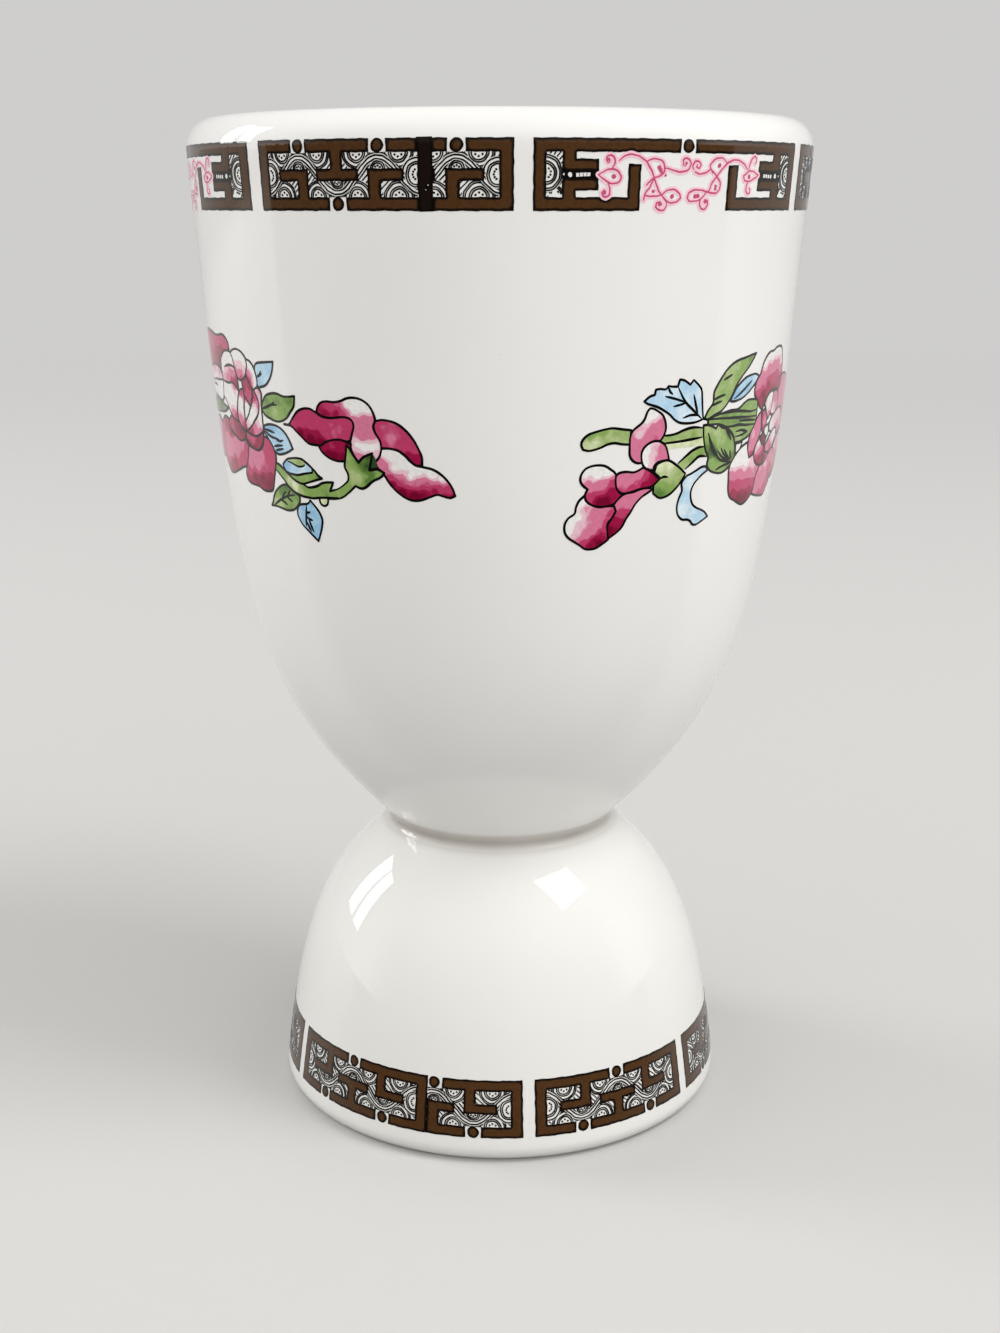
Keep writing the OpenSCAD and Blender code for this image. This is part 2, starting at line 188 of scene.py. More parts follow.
@dataclass(frozen=True)
class Glaze:
    """The clear glaze that covers clay and transfers alike, melted smooth by the kiln."""

    ior: float = 1.5
    gloss: float = 0.035
    body_roughness: float = 0.42
    ripple_mm: float = 9.0
    ripple_depth_mm: float = 0.012
    ripple_roughness: float = 0.4

    def ripple(self, tree: Tree) -> Socket:
        """Adds the slow waves of a poured glaze, and returns the bent normal."""
        place = add_node(tree, "ShaderNodeTexCoord").outputs["Object"]
        waves = add_node(tree, "ShaderNodeTexNoise", {"Vector": place, "Scale": 1 / (self.ripple_mm * MM),
                                                      "Detail": 2.0, "Roughness": self.ripple_roughness})
        bump = add_node(tree, "ShaderNodeBump", {"Height": waves.outputs["Fac"], "Strength": 1.0,
                                                 "Distance": self.ripple_depth_mm * MM})
        return bump.outputs["Normal"]

    def shader(self, tree: Tree, colour: Socket) -> None:
        """Ends a material's tree in a glazed surface of a colour.

        Args:
            tree: The material's tree.
            colour: The colour under the glaze.
        """
        normal = self.ripple(tree)
        surface = add_node(tree, "ShaderNodeBsdfPrincipled", {
            "Base Color": colour, "Roughness": self.body_roughness, "Specular IOR Level": 0.0,
            "Coat Weight": 1.0, "Coat Roughness": self.gloss, "Coat IOR": self.ior,
            "Normal": normal, "Coat Normal": normal})
        add_node(tree, "ShaderNodeOutputMaterial", {"Surface": surface.outputs["BSDF"]})


def new_material(name: str) -> bpy.types.Material:
    """Makes a material with an empty node tree, and returns it."""
    material = bpy.data.materials.new(name)
    material.use_nodes = True
    material.node_tree.nodes.clear()
    return material


@dataclass(frozen=True)
class GlazedEarthenware:
    """White earthenware under clear glaze: an even white with faint clouds and few specks.

    A painted shade greys the white round the waist, in the groove where the two cups meet.
    """

    name: str
    colour: str = "#eeedea"
    cloud: str = "#e8e7e4"
    speck: str = "#a2937c"
    cloud_mm: float = 14.0
    speck_mm: float = 0.06
    speck_room_mm: float = 4.0
    speck_share: float = 0.06
    # Painted shade in the groove at the waist: its grey, the height of its middle, its reach up and down,
    # and the clouds over which it goes from faint to full
    painted_shade_colour: str = "#a09a90"
    painted_shade_height_mm: float = 28.95
    painted_shade_reach_mm: float = 1.35
    painted_shade_clouds: tuple[float, float] = (0.3, 0.7)
    painted_shade_faintest: float = 0.7
    glaze: Glaze = Glaze()

    def add_painted_shade(self, tree: Tree, place: Socket, clouds: Socket, body: Socket) -> Socket:
        """Adds a painted shade, grey in the groove at the waist, to a colour.

        Args:
            tree: The material's tree.
            place: The point on the piece.
            clouds: The clay's clouds there, which make the painted shade patchy.
            body: The colour of the clay.

        Returns:
            The colour.
        """
        height = add_node(tree, "ShaderNodeSeparateXYZ", {"Vector": place}).outputs["Z"]
        off = add_node(tree, "ShaderNodeMath", {0: height, 1: self.painted_shade_height_mm * MM}, operation="SUBTRACT")
        gap = add_node(tree, "ShaderNodeMath", {0: off.outputs[0]}, operation="ABSOLUTE")
        # The painted shade is full at the waist's height and fades out within the reach
        near = add_node(tree, "ShaderNodeMapRange", {
            "Value": gap.outputs[0], "From Min": 0.0, "From Max": self.painted_shade_reach_mm * MM,
            "To Min": 1.0, "To Max": 0.0}, interpolation_type="SMOOTHSTEP")
        thinnest, thickest = self.painted_shade_clouds
        shade_patchiness = add_node(tree, "ShaderNodeMapRange", {
            "Value": clouds, "From Min": thinnest, "From Max": thickest,
            "To Min": self.painted_shade_faintest, "To Max": 1.0})
        share = add_node(tree, "ShaderNodeMath", {0: near.outputs["Result"], 1: shade_patchiness.outputs["Result"]},
                         operation="MULTIPLY")
        mix = add_node(tree, "ShaderNodeMix", {"Factor": share.outputs[0], "A": body,
                                               "B": linear(self.painted_shade_colour)}, data_type="RGBA")
        return mix.outputs["Result"]

    def material(self) -> bpy.types.Material:
        """Makes the glazed white clay, and returns its material."""
        made = new_material(self.name)
        tree = made.node_tree
        place = add_node(tree, "ShaderNodeTexCoord").outputs["Object"]
        clouds = add_node(tree, "ShaderNodeTexNoise", {"Vector": place, "Scale": 1 / (self.cloud_mm * MM),
                                                       "Detail": 3.0}).outputs["Fac"]
        body = add_node(tree, "ShaderNodeMix", {"Factor": clouds, "A": linear(self.colour),
                                                "B": linear(self.cloud)}, data_type="RGBA")
        cells = add_node(tree, "ShaderNodeTexVoronoi", {"Vector": place,
                                                        "Scale": 1 / (self.speck_room_mm * MM)})
        near = add_node(tree, "ShaderNodeMath", {
            0: cells.outputs["Distance"], 1: self.speck_mm / self.speck_room_mm}, operation="LESS_THAN")
        lot = add_node(tree, "ShaderNodeSeparateColor", {"Color": cells.outputs["Color"]})
        chosen = add_node(tree, "ShaderNodeMath", {0: lot.outputs["Red"], 1: self.speck_share},
                          operation="LESS_THAN")
        specks = add_node(tree, "ShaderNodeMath", {0: near.outputs[0], 1: chosen.outputs[0]},
                          operation="MULTIPLY")
        shaded = self.add_painted_shade(tree, place, clouds, body.outputs["Result"])
        colour = add_node(tree, "ShaderNodeMix", {"Factor": specks.outputs[0], "A": shaded,
                                                  "B": linear(self.speck)}, data_type="RGBA")
        self.glaze.shader(tree, colour.outputs["Result"])
        return made


@dataclass(frozen=True)
class FiredEnamel:
    """A fired enamel under the glaze: its coat pools and thins, so its tone steps and drifts.

    Tone comes from the film's own attribute, and is 0 where the coat is thinnest.
    """

    name: str
    bands: tuple[tuple[float, str], ...]
    soft: float = 0.06
    wander: float = 0.0
    wander_mm: float = 1.1
    wander_roughness: float = 0.55
    wander_clouds: tuple[float, float] = (0.25, 0.75)
    grain_mm: float = 0.35
    grain: float = 0.06
    grain_clouds: tuple[float, float] = (0.3, 0.7)
    glaze: Glaze = Glaze()

    def material(self) -> bpy.types.Material:
        """Makes the enamel, and returns its material."""
        made = new_material(self.name)
        tree = made.node_tree
        place = add_node(tree, "ShaderNodeTexCoord").outputs["Object"]
        tone = add_node(tree, "ShaderNodeAttribute", attribute_name="tone").outputs["Fac"]
        drift = add_node(tree, "ShaderNodeTexNoise", {"Vector": place, "Scale": 1 / (self.wander_mm * MM),
                                                      "Detail": 3.0, "Roughness": self.wander_roughness})
        swing = add_node(tree, "ShaderNodeMapRange", {
            "Value": drift.outputs["Fac"], "From Min": self.wander_clouds[0],
            "From Max": self.wander_clouds[1], "To Min": -self.wander, "To Max": self.wander})
        moved = add_node(tree, "ShaderNodeMath", {0: tone, 1: swing.outputs["Result"]}, operation="ADD")
        ramp = add_node(tree, "ShaderNodeValToRGB", {"Fac": moved.outputs[0]})
        fill_ramp(ramp.color_ramp, self.bands, self.soft)
        grains = add_node(tree, "ShaderNodeTexNoise", {"Vector": place, "Scale": 1 / (self.grain_mm * MM),
                                                       "Detail": 2.0})
        depth = add_node(tree, "ShaderNodeMapRange", {
            "Value": grains.outputs["Fac"], "From Min": self.grain_clouds[0],
            "From Max": self.grain_clouds[1], "To Min": 1 - self.grain, "To Max": 1 + self.grain})
        colour = add_node(tree, "ShaderNodeVectorMath", {
            0: ramp.outputs["Color"], "Scale": depth.outputs["Result"]}, operation="SCALE")
        self.glaze.shader(tree, colour.outputs["Vector"])
        return made


# Enamels by what they print: a band is the tone at which it starts and its colour
ENAMELS = {
    Enamel.LINE: FiredEnamel("grey_printed_enamel", ((0.0, "#1b1817"), (1.0, "#1b1817"))),
    Enamel.SCROLL: FiredEnamel("pink_printed_enamel", ((0.0, "#c4527a"), (1.0, "#c4527a"))),
    Enamel.BLUSH: FiredEnamel("pale_pink_enamel", ((0.0, "#efc6d0"), (1.0, "#efc6d0"))),
    Enamel.BROWN: FiredEnamel("brown_printed_enamel",
                              ((0.0, "#070402"), (0.34, "#27180c"), (0.56, "#4a3019")),
                              soft=0.16, wander=0.07, wander_mm=0.7, grain=0.14),
    Enamel.OVERLAP: FiredEnamel("doubled_brown_enamel", ((0.0, "#080504"), (0.5, "#160d08")), soft=0.3,
                                wander=0.12, wander_mm=0.6),
    Enamel.BLUE: FiredEnamel("pale_blue_enamel", ((0.0, "#dde9ee"), (0.25, "#b5d4e8"), (0.6, "#8bbada")),
                             soft=0.25, wander=0.16),
    Enamel.GREEN: FiredEnamel("leaf_green_enamel", ((0.0, "#d8dfb9"), (0.14, "#adbd84"), (0.34, "#86a45a"),
                                                    (0.6, "#5b7c3a"), (0.82, "#2d4522")),
                              soft=0.16, wander=0.12),
    Enamel.PETAL: FiredEnamel("crimson_enamel_wash",
                              ((0.0, "#eae8e5"), (0.13, "#e5bfca"), (0.32, "#d27695"),
                               (0.56, "#b93c66"), (0.76, "#981342"), (0.9, "#730229")),
                              soft=0.07, wander=0.05),
    Enamel.BLACK: FiredEnamel("black_printed_enamel", ((0.0, "#060505"), (1.0, "#060505"))),
}

# Enamels that pool along their edges, and how far in from the edge
POOLED = {Enamel.BROWN: 0.4, Enamel.OVERLAP: 0.3}
# The record's slots of the enamels of the borders; every other enamel is in the petals' slot
SLOTS = {Enamel.LINE: "brown_enamel", Enamel.BROWN: "brown_enamel", Enamel.OVERLAP: "brown_enamel"}
PETAL_SLOT = "crimson_enamel"


# Curves

@dataclass(frozen=True)
class Wave:
    """A wave that runs across a sheet: its size, how fast it runs along x and y, and its start."""

    size: float
    along_x: float
    along_y: float
    start: float = 0.0

    def at(self, x: np.ndarray | float, y: np.ndarray) -> np.ndarray:
        """Returns how high the wave is at some points."""
        return self.size * np.sin(self.along_x * x + self.along_y * y + self.start)


def polar(r: float, a: float) -> np.ndarray:
    """Returns the point at distance r and angle a, in degrees."""
    return np.array([r * math.cos(math.radians(a)), r * math.sin(math.radians(a))])


def bezier(a: np.ndarray, b: np.ndarray, c: np.ndarray, d: np.ndarray, steps: int) -> np.ndarray:
    """Draws a cubic curve.

    Args:
        a: Its first point.
        b: The handle of the first point.
        c: The handle of the last point.
        d: Its last point.
        steps: How many straight pieces it has.

    Returns:
        The points along the curve.
    """
    t = np.linspace(0, 1, steps + 1)[:, None]
    s = 1 - t
    return s ** 3 * a + 3 * s * s * t * b + 3 * s * t * t * c + t ** 3 * d


def rounding(c: np.ndarray, rx: float, ry: float, a0: float, a1: float, steps: int) -> np.ndarray:
    """Draws an elliptical rounding.

    Args:
        c: Its middle.
        rx: Its radius across.
        ry: Its radius in height.
        a0: The angle at which it starts, in degrees.
        a1: The angle at which it ends.
        steps: How many straight pieces it has.

    Returns:
        The points along the rounding.
    """
    a = np.radians(np.linspace(a0, a1, steps + 1))
    return np.stack([c[0] + rx * np.cos(a), c[1] + ry * np.sin(a)], 1)


def smooth(points: np.ndarray, closed: bool = False, step: float = 0.16, corner: float = 52.0) -> np.ndarray:
    """Draws a curve through given points, which keeps a corner where the line turns sharply.

    Args:
        points: The points, in millimetres.
        closed: Whether the line comes back to its first point.
        step: Length of the short straight pieces that make up the curve.
        corner: Turn above which a point is a corner, in degrees.

    Returns:
        Points along the curve; a closed one doesn't repeat its first point.
    """
    if closed:
        turns = turning(points, True)
        first = int(np.argmax(turns))
        points = np.roll(points, -first, 0)
        points = np.vstack([points, points[:1]])
        turns = np.append(np.roll(turns, -first), 180.0)
        turns[0] = 180.0
    else:
        turns = np.concatenate([[180.0], turning(points, False), [180.0]])
    line = [points[:1]]
    for i in range(len(points) - 1):
        a, b = points[i], points[i + 1]
        before = points[i - 1] if turns[i] < corner and i > 0 else 2 * a - b
        after = points[i + 2] if turns[i + 1] < corner and i + 2 < len(points) else 2 * b - a
        steps = max(1, int(math.ceil(np.linalg.norm(b - a) / step)))
        line.append(catmull(before, a, b, after, steps))
    curve = np.vstack(line)
    return curve[:-1] if closed else curve


def turning(points: np.ndarray, closed: bool) -> np.ndarray:
    """Measures how far a line turns at each point.

    Args:
        points: The line.
        closed: Whether it comes back to its first point.

    Returns:
        The turns in degrees, without the ends of an open line.
    """
    if closed:
        before, here, after = np.roll(points, 1, 0), points, np.roll(points, -1, 0)
    else:
        before, here, after = points[:-2], points[1:-1], points[2:]
    a, b = here - before, after - here
    return np.degrees(np.abs(np.arctan2(a[:, 0] * b[:, 1] - a[:, 1] * b[:, 0], (a * b).sum(1))))


def catmull(p0: np.ndarray, p1: np.ndarray, p2: np.ndarray, p3: np.ndarray, steps: int) -> np.ndarray:
    """Draws the piece of a smooth curve between two of its points.

    Args:
        p0: The point before the piece.
        p1: Where it starts.
        p2: Where it ends.
        p3: The point after it.
        steps: How many straight pieces it has.

    Returns:
        The points after the first, up to the last.
    """
    gaps = [max(np.linalg.norm(b - a), LEAST_STEP) ** 0.5 for a, b in ((p0, p1), (p1, p2), (p2, p3))]
    t0, t1, t2, t3 = np.concatenate([[0.0], np.cumsum(gaps)])
    t = np.linspace(t1, t2, steps + 1)[1:, None]
    a1 = (t1 - t) / (t1 - t0) * p0 + (t - t0) / (t1 - t0) * p1
    a2 = (t2 - t) / (t2 - t1) * p1 + (t - t1) / (t2 - t1) * p2
    a3 = (t3 - t) / (t3 - t2) * p2 + (t - t2) / (t3 - t2) * p3
    b1 = (t2 - t) / (t2 - t0) * a1 + (t - t0) / (t2 - t0) * a2
    b2 = (t3 - t) / (t3 - t1) * a2 + (t - t1) / (t3 - t1) * a3
    return (t2 - t) / (t2 - t1) * b1 + (t - t1) / (t2 - t1) * b2


def circle(x: float, y: float, r: float, steps: int = 14) -> np.ndarray:
    """Returns the points of a circle."""
    return rounding(np.array([x, y]), r, r, 0, 360, steps)[:-1]


def box(x0: float, y0: float, x1: float, y1: float, step: float = 0.4) -> np.ndarray:
    """Draws a rectangle whose sides have points in between, so that they can bend.

    Args:
        x0: Its left side.
        y0: Its lower side.
        x1: Its right side.
        y1: Its upper side.
        step: The most room between two points.

    Returns:
        The points round the rectangle.
    """
    corners = [(x0, y0), (x1, y0), (x1, y1), (x0, y1)]
    line = []
    for (ax, ay), (bx, by) in zip(corners, corners[1:] + corners[:1]):
        count = max(1, math.ceil(math.hypot(bx - ax, by - ay) / step))
        line += [(ax + (bx - ax) * i / count, ay + (by - ay) * i / count) for i in range(count)]
    return np.array(line)


# Marks and films

@dataclass
class Area:
    """A filled mark.

    Attributes:
        enamel: What it is painted in.
        loop: Its outline.
        tones: Rows of x, y and tone, between which the tone drifts, or None for an even coat.
    """

    enamel: Enamel
    loop: np.ndarray
    tones: np.ndarray | None = None

    def loops(self) -> list[np.ndarray]:
        """Returns the closed lines that bound the mark."""
        return [self.loop]

    def covers(self, points: np.ndarray) -> np.ndarray:
        """Tells which points lie inside the outline.

        Args:
            points: The points.

        Returns:
            True for each point inside.
        """
        inside = np.zeros(len(points), bool)
        near = np.all((points >= self.loop.min(0)) & (points <= self.loop.max(0)), axis=1)
        x, y = points[near, 0][:, None], points[near, 1][:, None]
        a, b = self.loop, np.roll(self.loop, -1, 0)
        spans = (a[:, 1] > y) != (b[:, 1] > y)
        rise = np.where(b[:, 1] == a[:, 1], LEAST_SQUARE, b[:, 1] - a[:, 1])
        crossing = a[:, 0] + (y - a[:, 1]) * (b[:, 0] - a[:, 0]) / rise
        inside[near] = (spans & (x < crossing)).sum(1) % 2 == 1
        return inside

    def tone(self, points: np.ndarray) -> np.ndarray:
        """Returns the tone at each point, nearest to that of the tone points close by."""
        if self.tones is None:
            return np.full(len(points), EVEN_TONE)
        gap = ((points[:, None] - self.tones[None, :, :2]) ** 2).sum(2) + NEAREST_GAP
        weight = gap ** -NEARNESS
        return (weight * self.tones[:, 2]).sum(1) / weight.sum(1)


@dataclass
class Stroke:
    """A drawn line.

    Attributes:
        enamel: What it is drawn in.
        line: Its middle.
        half: Half of its width at each point.
    """

    enamel: Enamel
    line: np.ndarray
    half: np.ndarray

    def loops(self) -> list[np.ndarray]:
        """Returns the closed lines that bound the mark: two sides, and a round at ends and corners."""
        run = np.gradient(self.line, axis=0)
        run /= np.maximum(np.linalg.norm(run, axis=1), LEAST_LENGTH)[:, None]
        side = np.stack([-run[:, 1], run[:, 0]], 1) * self.half[:, None]
        rounds = [0, len(self.line) - 1]
        if len(self.line) > 2:
            rounds += [int(i) + 1 for i in np.nonzero(turning(self.line, False) > SHARP_TURN)[0]]
        caps = [circle(*self.line[i], self.half[i], steps=8) for i in rounds]
        return [np.vstack([self.line + side, (self.line - side)[::-1]])] + caps

    def covers(self, points: np.ndarray) -> np.ndarray:
        """Tells which points lie within half a width of the line.

        Args:
            points: The points.

        Returns:
            True for each point on the stroke.
        """
        inside = np.zeros(len(points), bool)
        reach = self.half.max()
        near = np.nonzero(np.all((points >= self.line.min(0) - reach)
                                 & (points <= self.line.max(0) + reach), axis=1))[0]
        for a, b, wa, wb in zip(self.line, self.line[1:], self.half, self.half[1:]):
            rest = points[near]
            run = b - a
            t = np.clip(((rest - a) @ run) / max(run @ run, LEAST_SQUARE), 0, 1)
            away = ((rest - a - t[:, None] * run) ** 2).sum(1)
            inside[near[away < (wa + (wb - wa) * t) ** 2]] = True
        return inside

    def tone(self, points: np.ndarray) -> np.ndarray:
        """Returns an even tone."""
        return np.full(len(points), EVEN_TONE)


@dataclass
class Film:
    """The flat film of one enamel: its points, its triangles and the tone at their corners."""

    points: np.ndarray
    triangles: np.ndarray
    tone: np.ndarray
    thickness: float = 0.028
    sink: float = 0.006

    def edges(self) -> tuple[np.ndarray, np.ndarray, np.ndarray]:
        """Returns the corners at which an outer edge starts, and the points at its two ends."""
        here, ahead = self.triangles.reshape(-1), np.roll(self.triangles, -1, 1).reshape(-1)
        size = len(self.points)
        outer = np.nonzero(~np.isin(here * size + ahead, ahead * size + here))[0]
        return outer, here[outer], ahead[outer]

    def edge_tone(self, width: float) -> None:
        """Makes the tone grow from 0 at the film's edge to 1 at a width inside it."""
        _, start, end = self.edges()
        a = self.points[start]
        run = self.points[end] - a
        away = np.full(len(self.points), width)
        batch = 400
        for i in range(0, len(self.points), batch):
            rest = self.points[i:i + batch, None]
            t = np.clip(((rest - a) * run).sum(2) / np.maximum((run * run).sum(1), LEAST_SQUARE), 0, 1)
            gap = np.linalg.norm(rest - a - t[..., None] * run, axis=2).min(1)
            away[i:i + batch] = np.minimum(gap, width)
        self.tone = (away / width)[self.triangles]

    def solid(self, name: str) -> Mesh:
        """Makes the film a thin closed solid, still flat, with z for its height above the glaze.

        Args:
            name: The mesh's name.

        Returns:
            The mesh, in metres, with the tone in a corner attribute.
        """
        count = len(self.points)
        top = np.column_stack([self.points, np.full(count, self.thickness)])
        bottom = np.column_stack([self.points, np.full(count, -self.sink)])
        outer, a, b = self.edges()
        walls = np.stack([b, a, a + count, b + count], 1)
        tone = self.tone.reshape(-1)
        ta, tb = tone[outer], np.roll(self.tone, -1, 1).reshape(-1)[outer]
        mesh = bpy.data.meshes.new(name)
        faces = self.triangles.tolist() + (self.triangles[:, ::-1] + count).tolist() + walls.tolist()
        mesh.from_pydata((np.vstack([top, bottom]) * MM).tolist(), [], faces)
        tones = np.concatenate([tone, self.tone[:, ::-1].reshape(-1),
                                np.stack([tb, ta, ta, tb], 1).reshape(-1)])
        mesh.attributes.new("tone", "FLOAT", "CORNER").data.foreach_set("value", tones.astype(np.float32))
        return mesh


class Sheet:
    """A flat drawing of marks, of which a later one covers an earlier one."""

    swell: float = 0.1
    swell_pace: float = 0.23
    row_pitch: float = 0.866

    def __init__(self, spacing: float, window: np.ndarray | None = None) -> None:
        """Starts an empty sheet.

        Args:
            spacing: Room between the points inside a mark, small enough to follow the cup.
            window: An outline outside which nothing is laid on, or None.
        """
        self.spacing = spacing
        self.window = None if window is None else Area(Enamel.BARE, window)
        self.marks: list[Area | Stroke] = []

    def area(self, enamel: Enamel, loop: np.ndarray, tones: np.ndarray | None = None) -> None:
        """Paints an area."""
        self.marks.append(Area(enamel, loop, tones))

    def stroke(self, enamel: Enamel, line: np.ndarray, width: float, taper: float = 0.0) -> None:
        """Draws a line whose width swells a little and thins towards its ends.

        Args:
            enamel: What it is drawn in.
            line: Its middle.
            width: Its width.
            taper: The share of the width that is gone at the ends.
        """
        along = np.linspace(0, 1, len(line))
        swell = 1 + self.swell * np.sin(along * len(line) * self.swell_pace + line[0, 0])
        thin = 1 - taper * np.abs(2 * along - 1) ** 3
        self.marks.append(Stroke(enamel, line, width / 2 * swell * thin))

    def owners(self, points: np.ndarray) -> np.ndarray:
        """Returns the number of the mark that shows at each point, or -1."""
        owner = np.full(len(points), -1)
        for number, mark in enumerate(self.marks):
            owner[mark.covers(points)] = number
        if self.window is not None:
            owner[~self.window.covers(points)] = -1
        return owner

    def films(self) -> dict[Enamel, Film]:
        """Cuts the drawing into one flat film for each enamel.

        Returns:
            The films. They meet edge to edge, and none lies on another.
        """
        loops = [loop for mark in self.marks for loop in mark.loops()]
        if self.window is not None:
            loops += self.window.loops()
        corners = np.vstack(loops)
        low, high = corners.min(0), corners.max(0)
        xs = np.arange(low[0], high[0], self.spacing)
        ys = np.arange(low[1], high[1], self.spacing * self.row_pitch)
        grid = np.array([(x + (j % 2) * self.spacing / 2, y) for j, y in enumerate(ys) for x in xs])
        grid = grid[self.owners(grid) >= 0]
        edges, start = [], 0
        for loop in loops:
            edges += [(start + i, start + (i + 1) % len(loop)) for i in range(len(loop))]
            start += len(loop)
        places = [Vector(p) for p in np.vstack([corners, grid])]
        cut = delaunay_2d_cdt(places, edges, [], 0, SAME_PLACE, False)
        points = np.array([tuple(p) for p in cut[0]])
        triangles = np.array([t for t in cut[2] if len(t) == 3])
        a, b, c = (points[triangles[:, i]] for i in range(3))
        size = (b[:, 0] - a[:, 0]) * (c[:, 1] - a[:, 1]) - (b[:, 1] - a[:, 1]) * (c[:, 0] - a[:, 0])
        real = np.abs(size) > LEAST_AREA
        triangles, size = triangles[real], size[real]
        triangles[size < 0] = triangles[size < 0][:, ::-1]
        owner = self.owners(points[triangles].mean(1))
        films = {}
        for enamel in Enamel:
            kept = np.array([n >= 0 and self.marks[n].enamel is enamel for n in owner])
            if enamel is Enamel.BARE or not kept.any():
                continue
            tone = np.zeros((kept.sum(), 3))
            for number in np.unique(owner[kept]):
                mine = owner[kept] == number
                at = points[triangles[kept][mine]].reshape(-1, 2)
                tone[mine] = self.marks[number].tone(at).reshape(-1, 3)
            used, renumbered = np.unique(triangles[kept], return_inverse=True)
            films[enamel] = Film(points[used], renumbered.reshape(-1, 3), tone)
            if enamel in POOLED:
                films[enamel].edge_tone(POOLED[enamel])
        return films


# Geometry Nodes

class Modifier:
    """A Geometry Nodes tree of this script, and the way a mesh goes through it."""

    def __init__(self, name: str, sockets: dict[str, str]) -> None:
        """Starts a tree with named inputs.

        Args:
            name: The tree's name.
            sockets: The type of each input, by name.
        """
        self.tree = bpy.data.node_groups.new(name, "GeometryNodeTree")
        face = self.tree.interface
        face.new_socket("Geometry", in_out="INPUT", socket_type="NodeSocketGeometry")
        self.ids = {key: face.new_socket(key, in_out="INPUT", socket_type=kind).identifier
                    for key, kind in sockets.items()}
        face.new_socket("Geometry", in_out="OUTPUT", socket_type="NodeSocketGeometry")
        self.given = self.tree.nodes.new("NodeGroupInput").outputs

    def end(self, geometry: Socket) -> None:
        """Ends the tree: copies made real, smooth, in the material given."""
        real = add_node(self.tree, "GeometryNodeRealizeInstances", {"Geometry": geometry})
        even = add_node(self.tree, "GeometryNodeSetShadeSmooth", {"Geometry": real.outputs[0]})
        dressed = add_node(self.tree, "GeometryNodeSetMaterial", {"Geometry": even.outputs[0],
                                                                  "Material": self.given["Material"]})
        add_node(self.tree, "NodeGroupOutput", {"Geometry": dressed.outputs[0]})

    def apply(self, mesh: Mesh, **values) -> Mesh:
        """Sends a mesh through the tree.

        Args:
            mesh: The mesh that goes in.
            **values: A value for each named input.

        Returns:
            A plain mesh of what comes out.
        """
        carrier = put("carrier", mesh)
        modifier = carrier.modifiers.new("tree", "NODES")
        modifier.node_group = self.tree
        for key, value in values.items():
            modifier[self.ids[key]] = value
        graph = bpy.context.evaluated_depsgraph_get()
        made = bpy.data.meshes.new_from_object(carrier.evaluated_get(graph), preserve_all_data_layers=True,
                                               depsgraph=graph)
        carrier.modifiers.clear()
        bpy.data.objects.remove(carrier)
        return made


def lathe() -> Modifier:
    """Builds the tree that turns a profile, drawn in x and z, round the Z axis.

    Returns:
        The tree, with the inputs Steps and Material.
    """
    tool = Modifier("lathe", {"Steps": "NodeSocketInt", "Material": "NodeSocketMaterial"})
    tree, given = tool.tree, tool.given
    size = add_node(tree, "GeometryNodeAttributeDomainSize", {"Geometry": given["Geometry"]})
    count = size.outputs["Point Count"]
    columns = add_node(tree, "ShaderNodeMath", {0: given["Steps"], 1: 1.0}, operation="ADD")
    grid = add_node(tree, "GeometryNodeMeshGrid", {"Vertices X": columns.outputs[0], "Vertices Y": count})
    index = add_node(tree, "GeometryNodeInputIndex").outputs[0]
    share = add_node(tree, "ShaderNodeMath", {0: index, 1: count}, operation="DIVIDE")
    column = add_node(tree, "ShaderNodeMath", {0: share.outputs[0]}, operation="FLOOR")
    row = add_node(tree, "ShaderNodeMath", {0: index, 1: count}, operation="MODULO")
    place = add_node(tree, "GeometryNodeInputPosition").outputs[0]
    sample = add_node(tree, "GeometryNodeSampleIndex", {"Geometry": given["Geometry"], "Value": place,
                                                        "Index": row.outputs[0]}, data_type="FLOAT_VECTOR")
    point = add_node(tree, "ShaderNodeSeparateXYZ", {0: sample.outputs[0]}).outputs
    turn = add_node(tree, "ShaderNodeMath", {0: column.outputs[0], 1: given["Steps"]}, operation="DIVIDE")
    angle = add_node(tree, "ShaderNodeMath", {0: turn.outputs[0], 1: math.tau}, operation="MULTIPLY")
    flat = add_node(tree, "ShaderNodeCombineXYZ", {"X": point["X"], "Z": point["Z"]})
    moved = add_node(tree, "ShaderNodeVectorRotate", {
        "Vector": flat.outputs[0], "Axis": UP, "Angle": angle.outputs[0]}, rotation_type="AXIS_ANGLE")
    placed = add_node(tree, "GeometryNodeSetPosition", {"Geometry": grid.outputs["Mesh"],
                                                        "Position": moved.outputs[0]})
    joined = add_node(tree, "GeometryNodeMergeByDistance", {"Geometry": placed.outputs[0],
                                                            "Distance": SAME_POINT_MM * MM})
    tool.end(joined.outputs[0])
    return tool


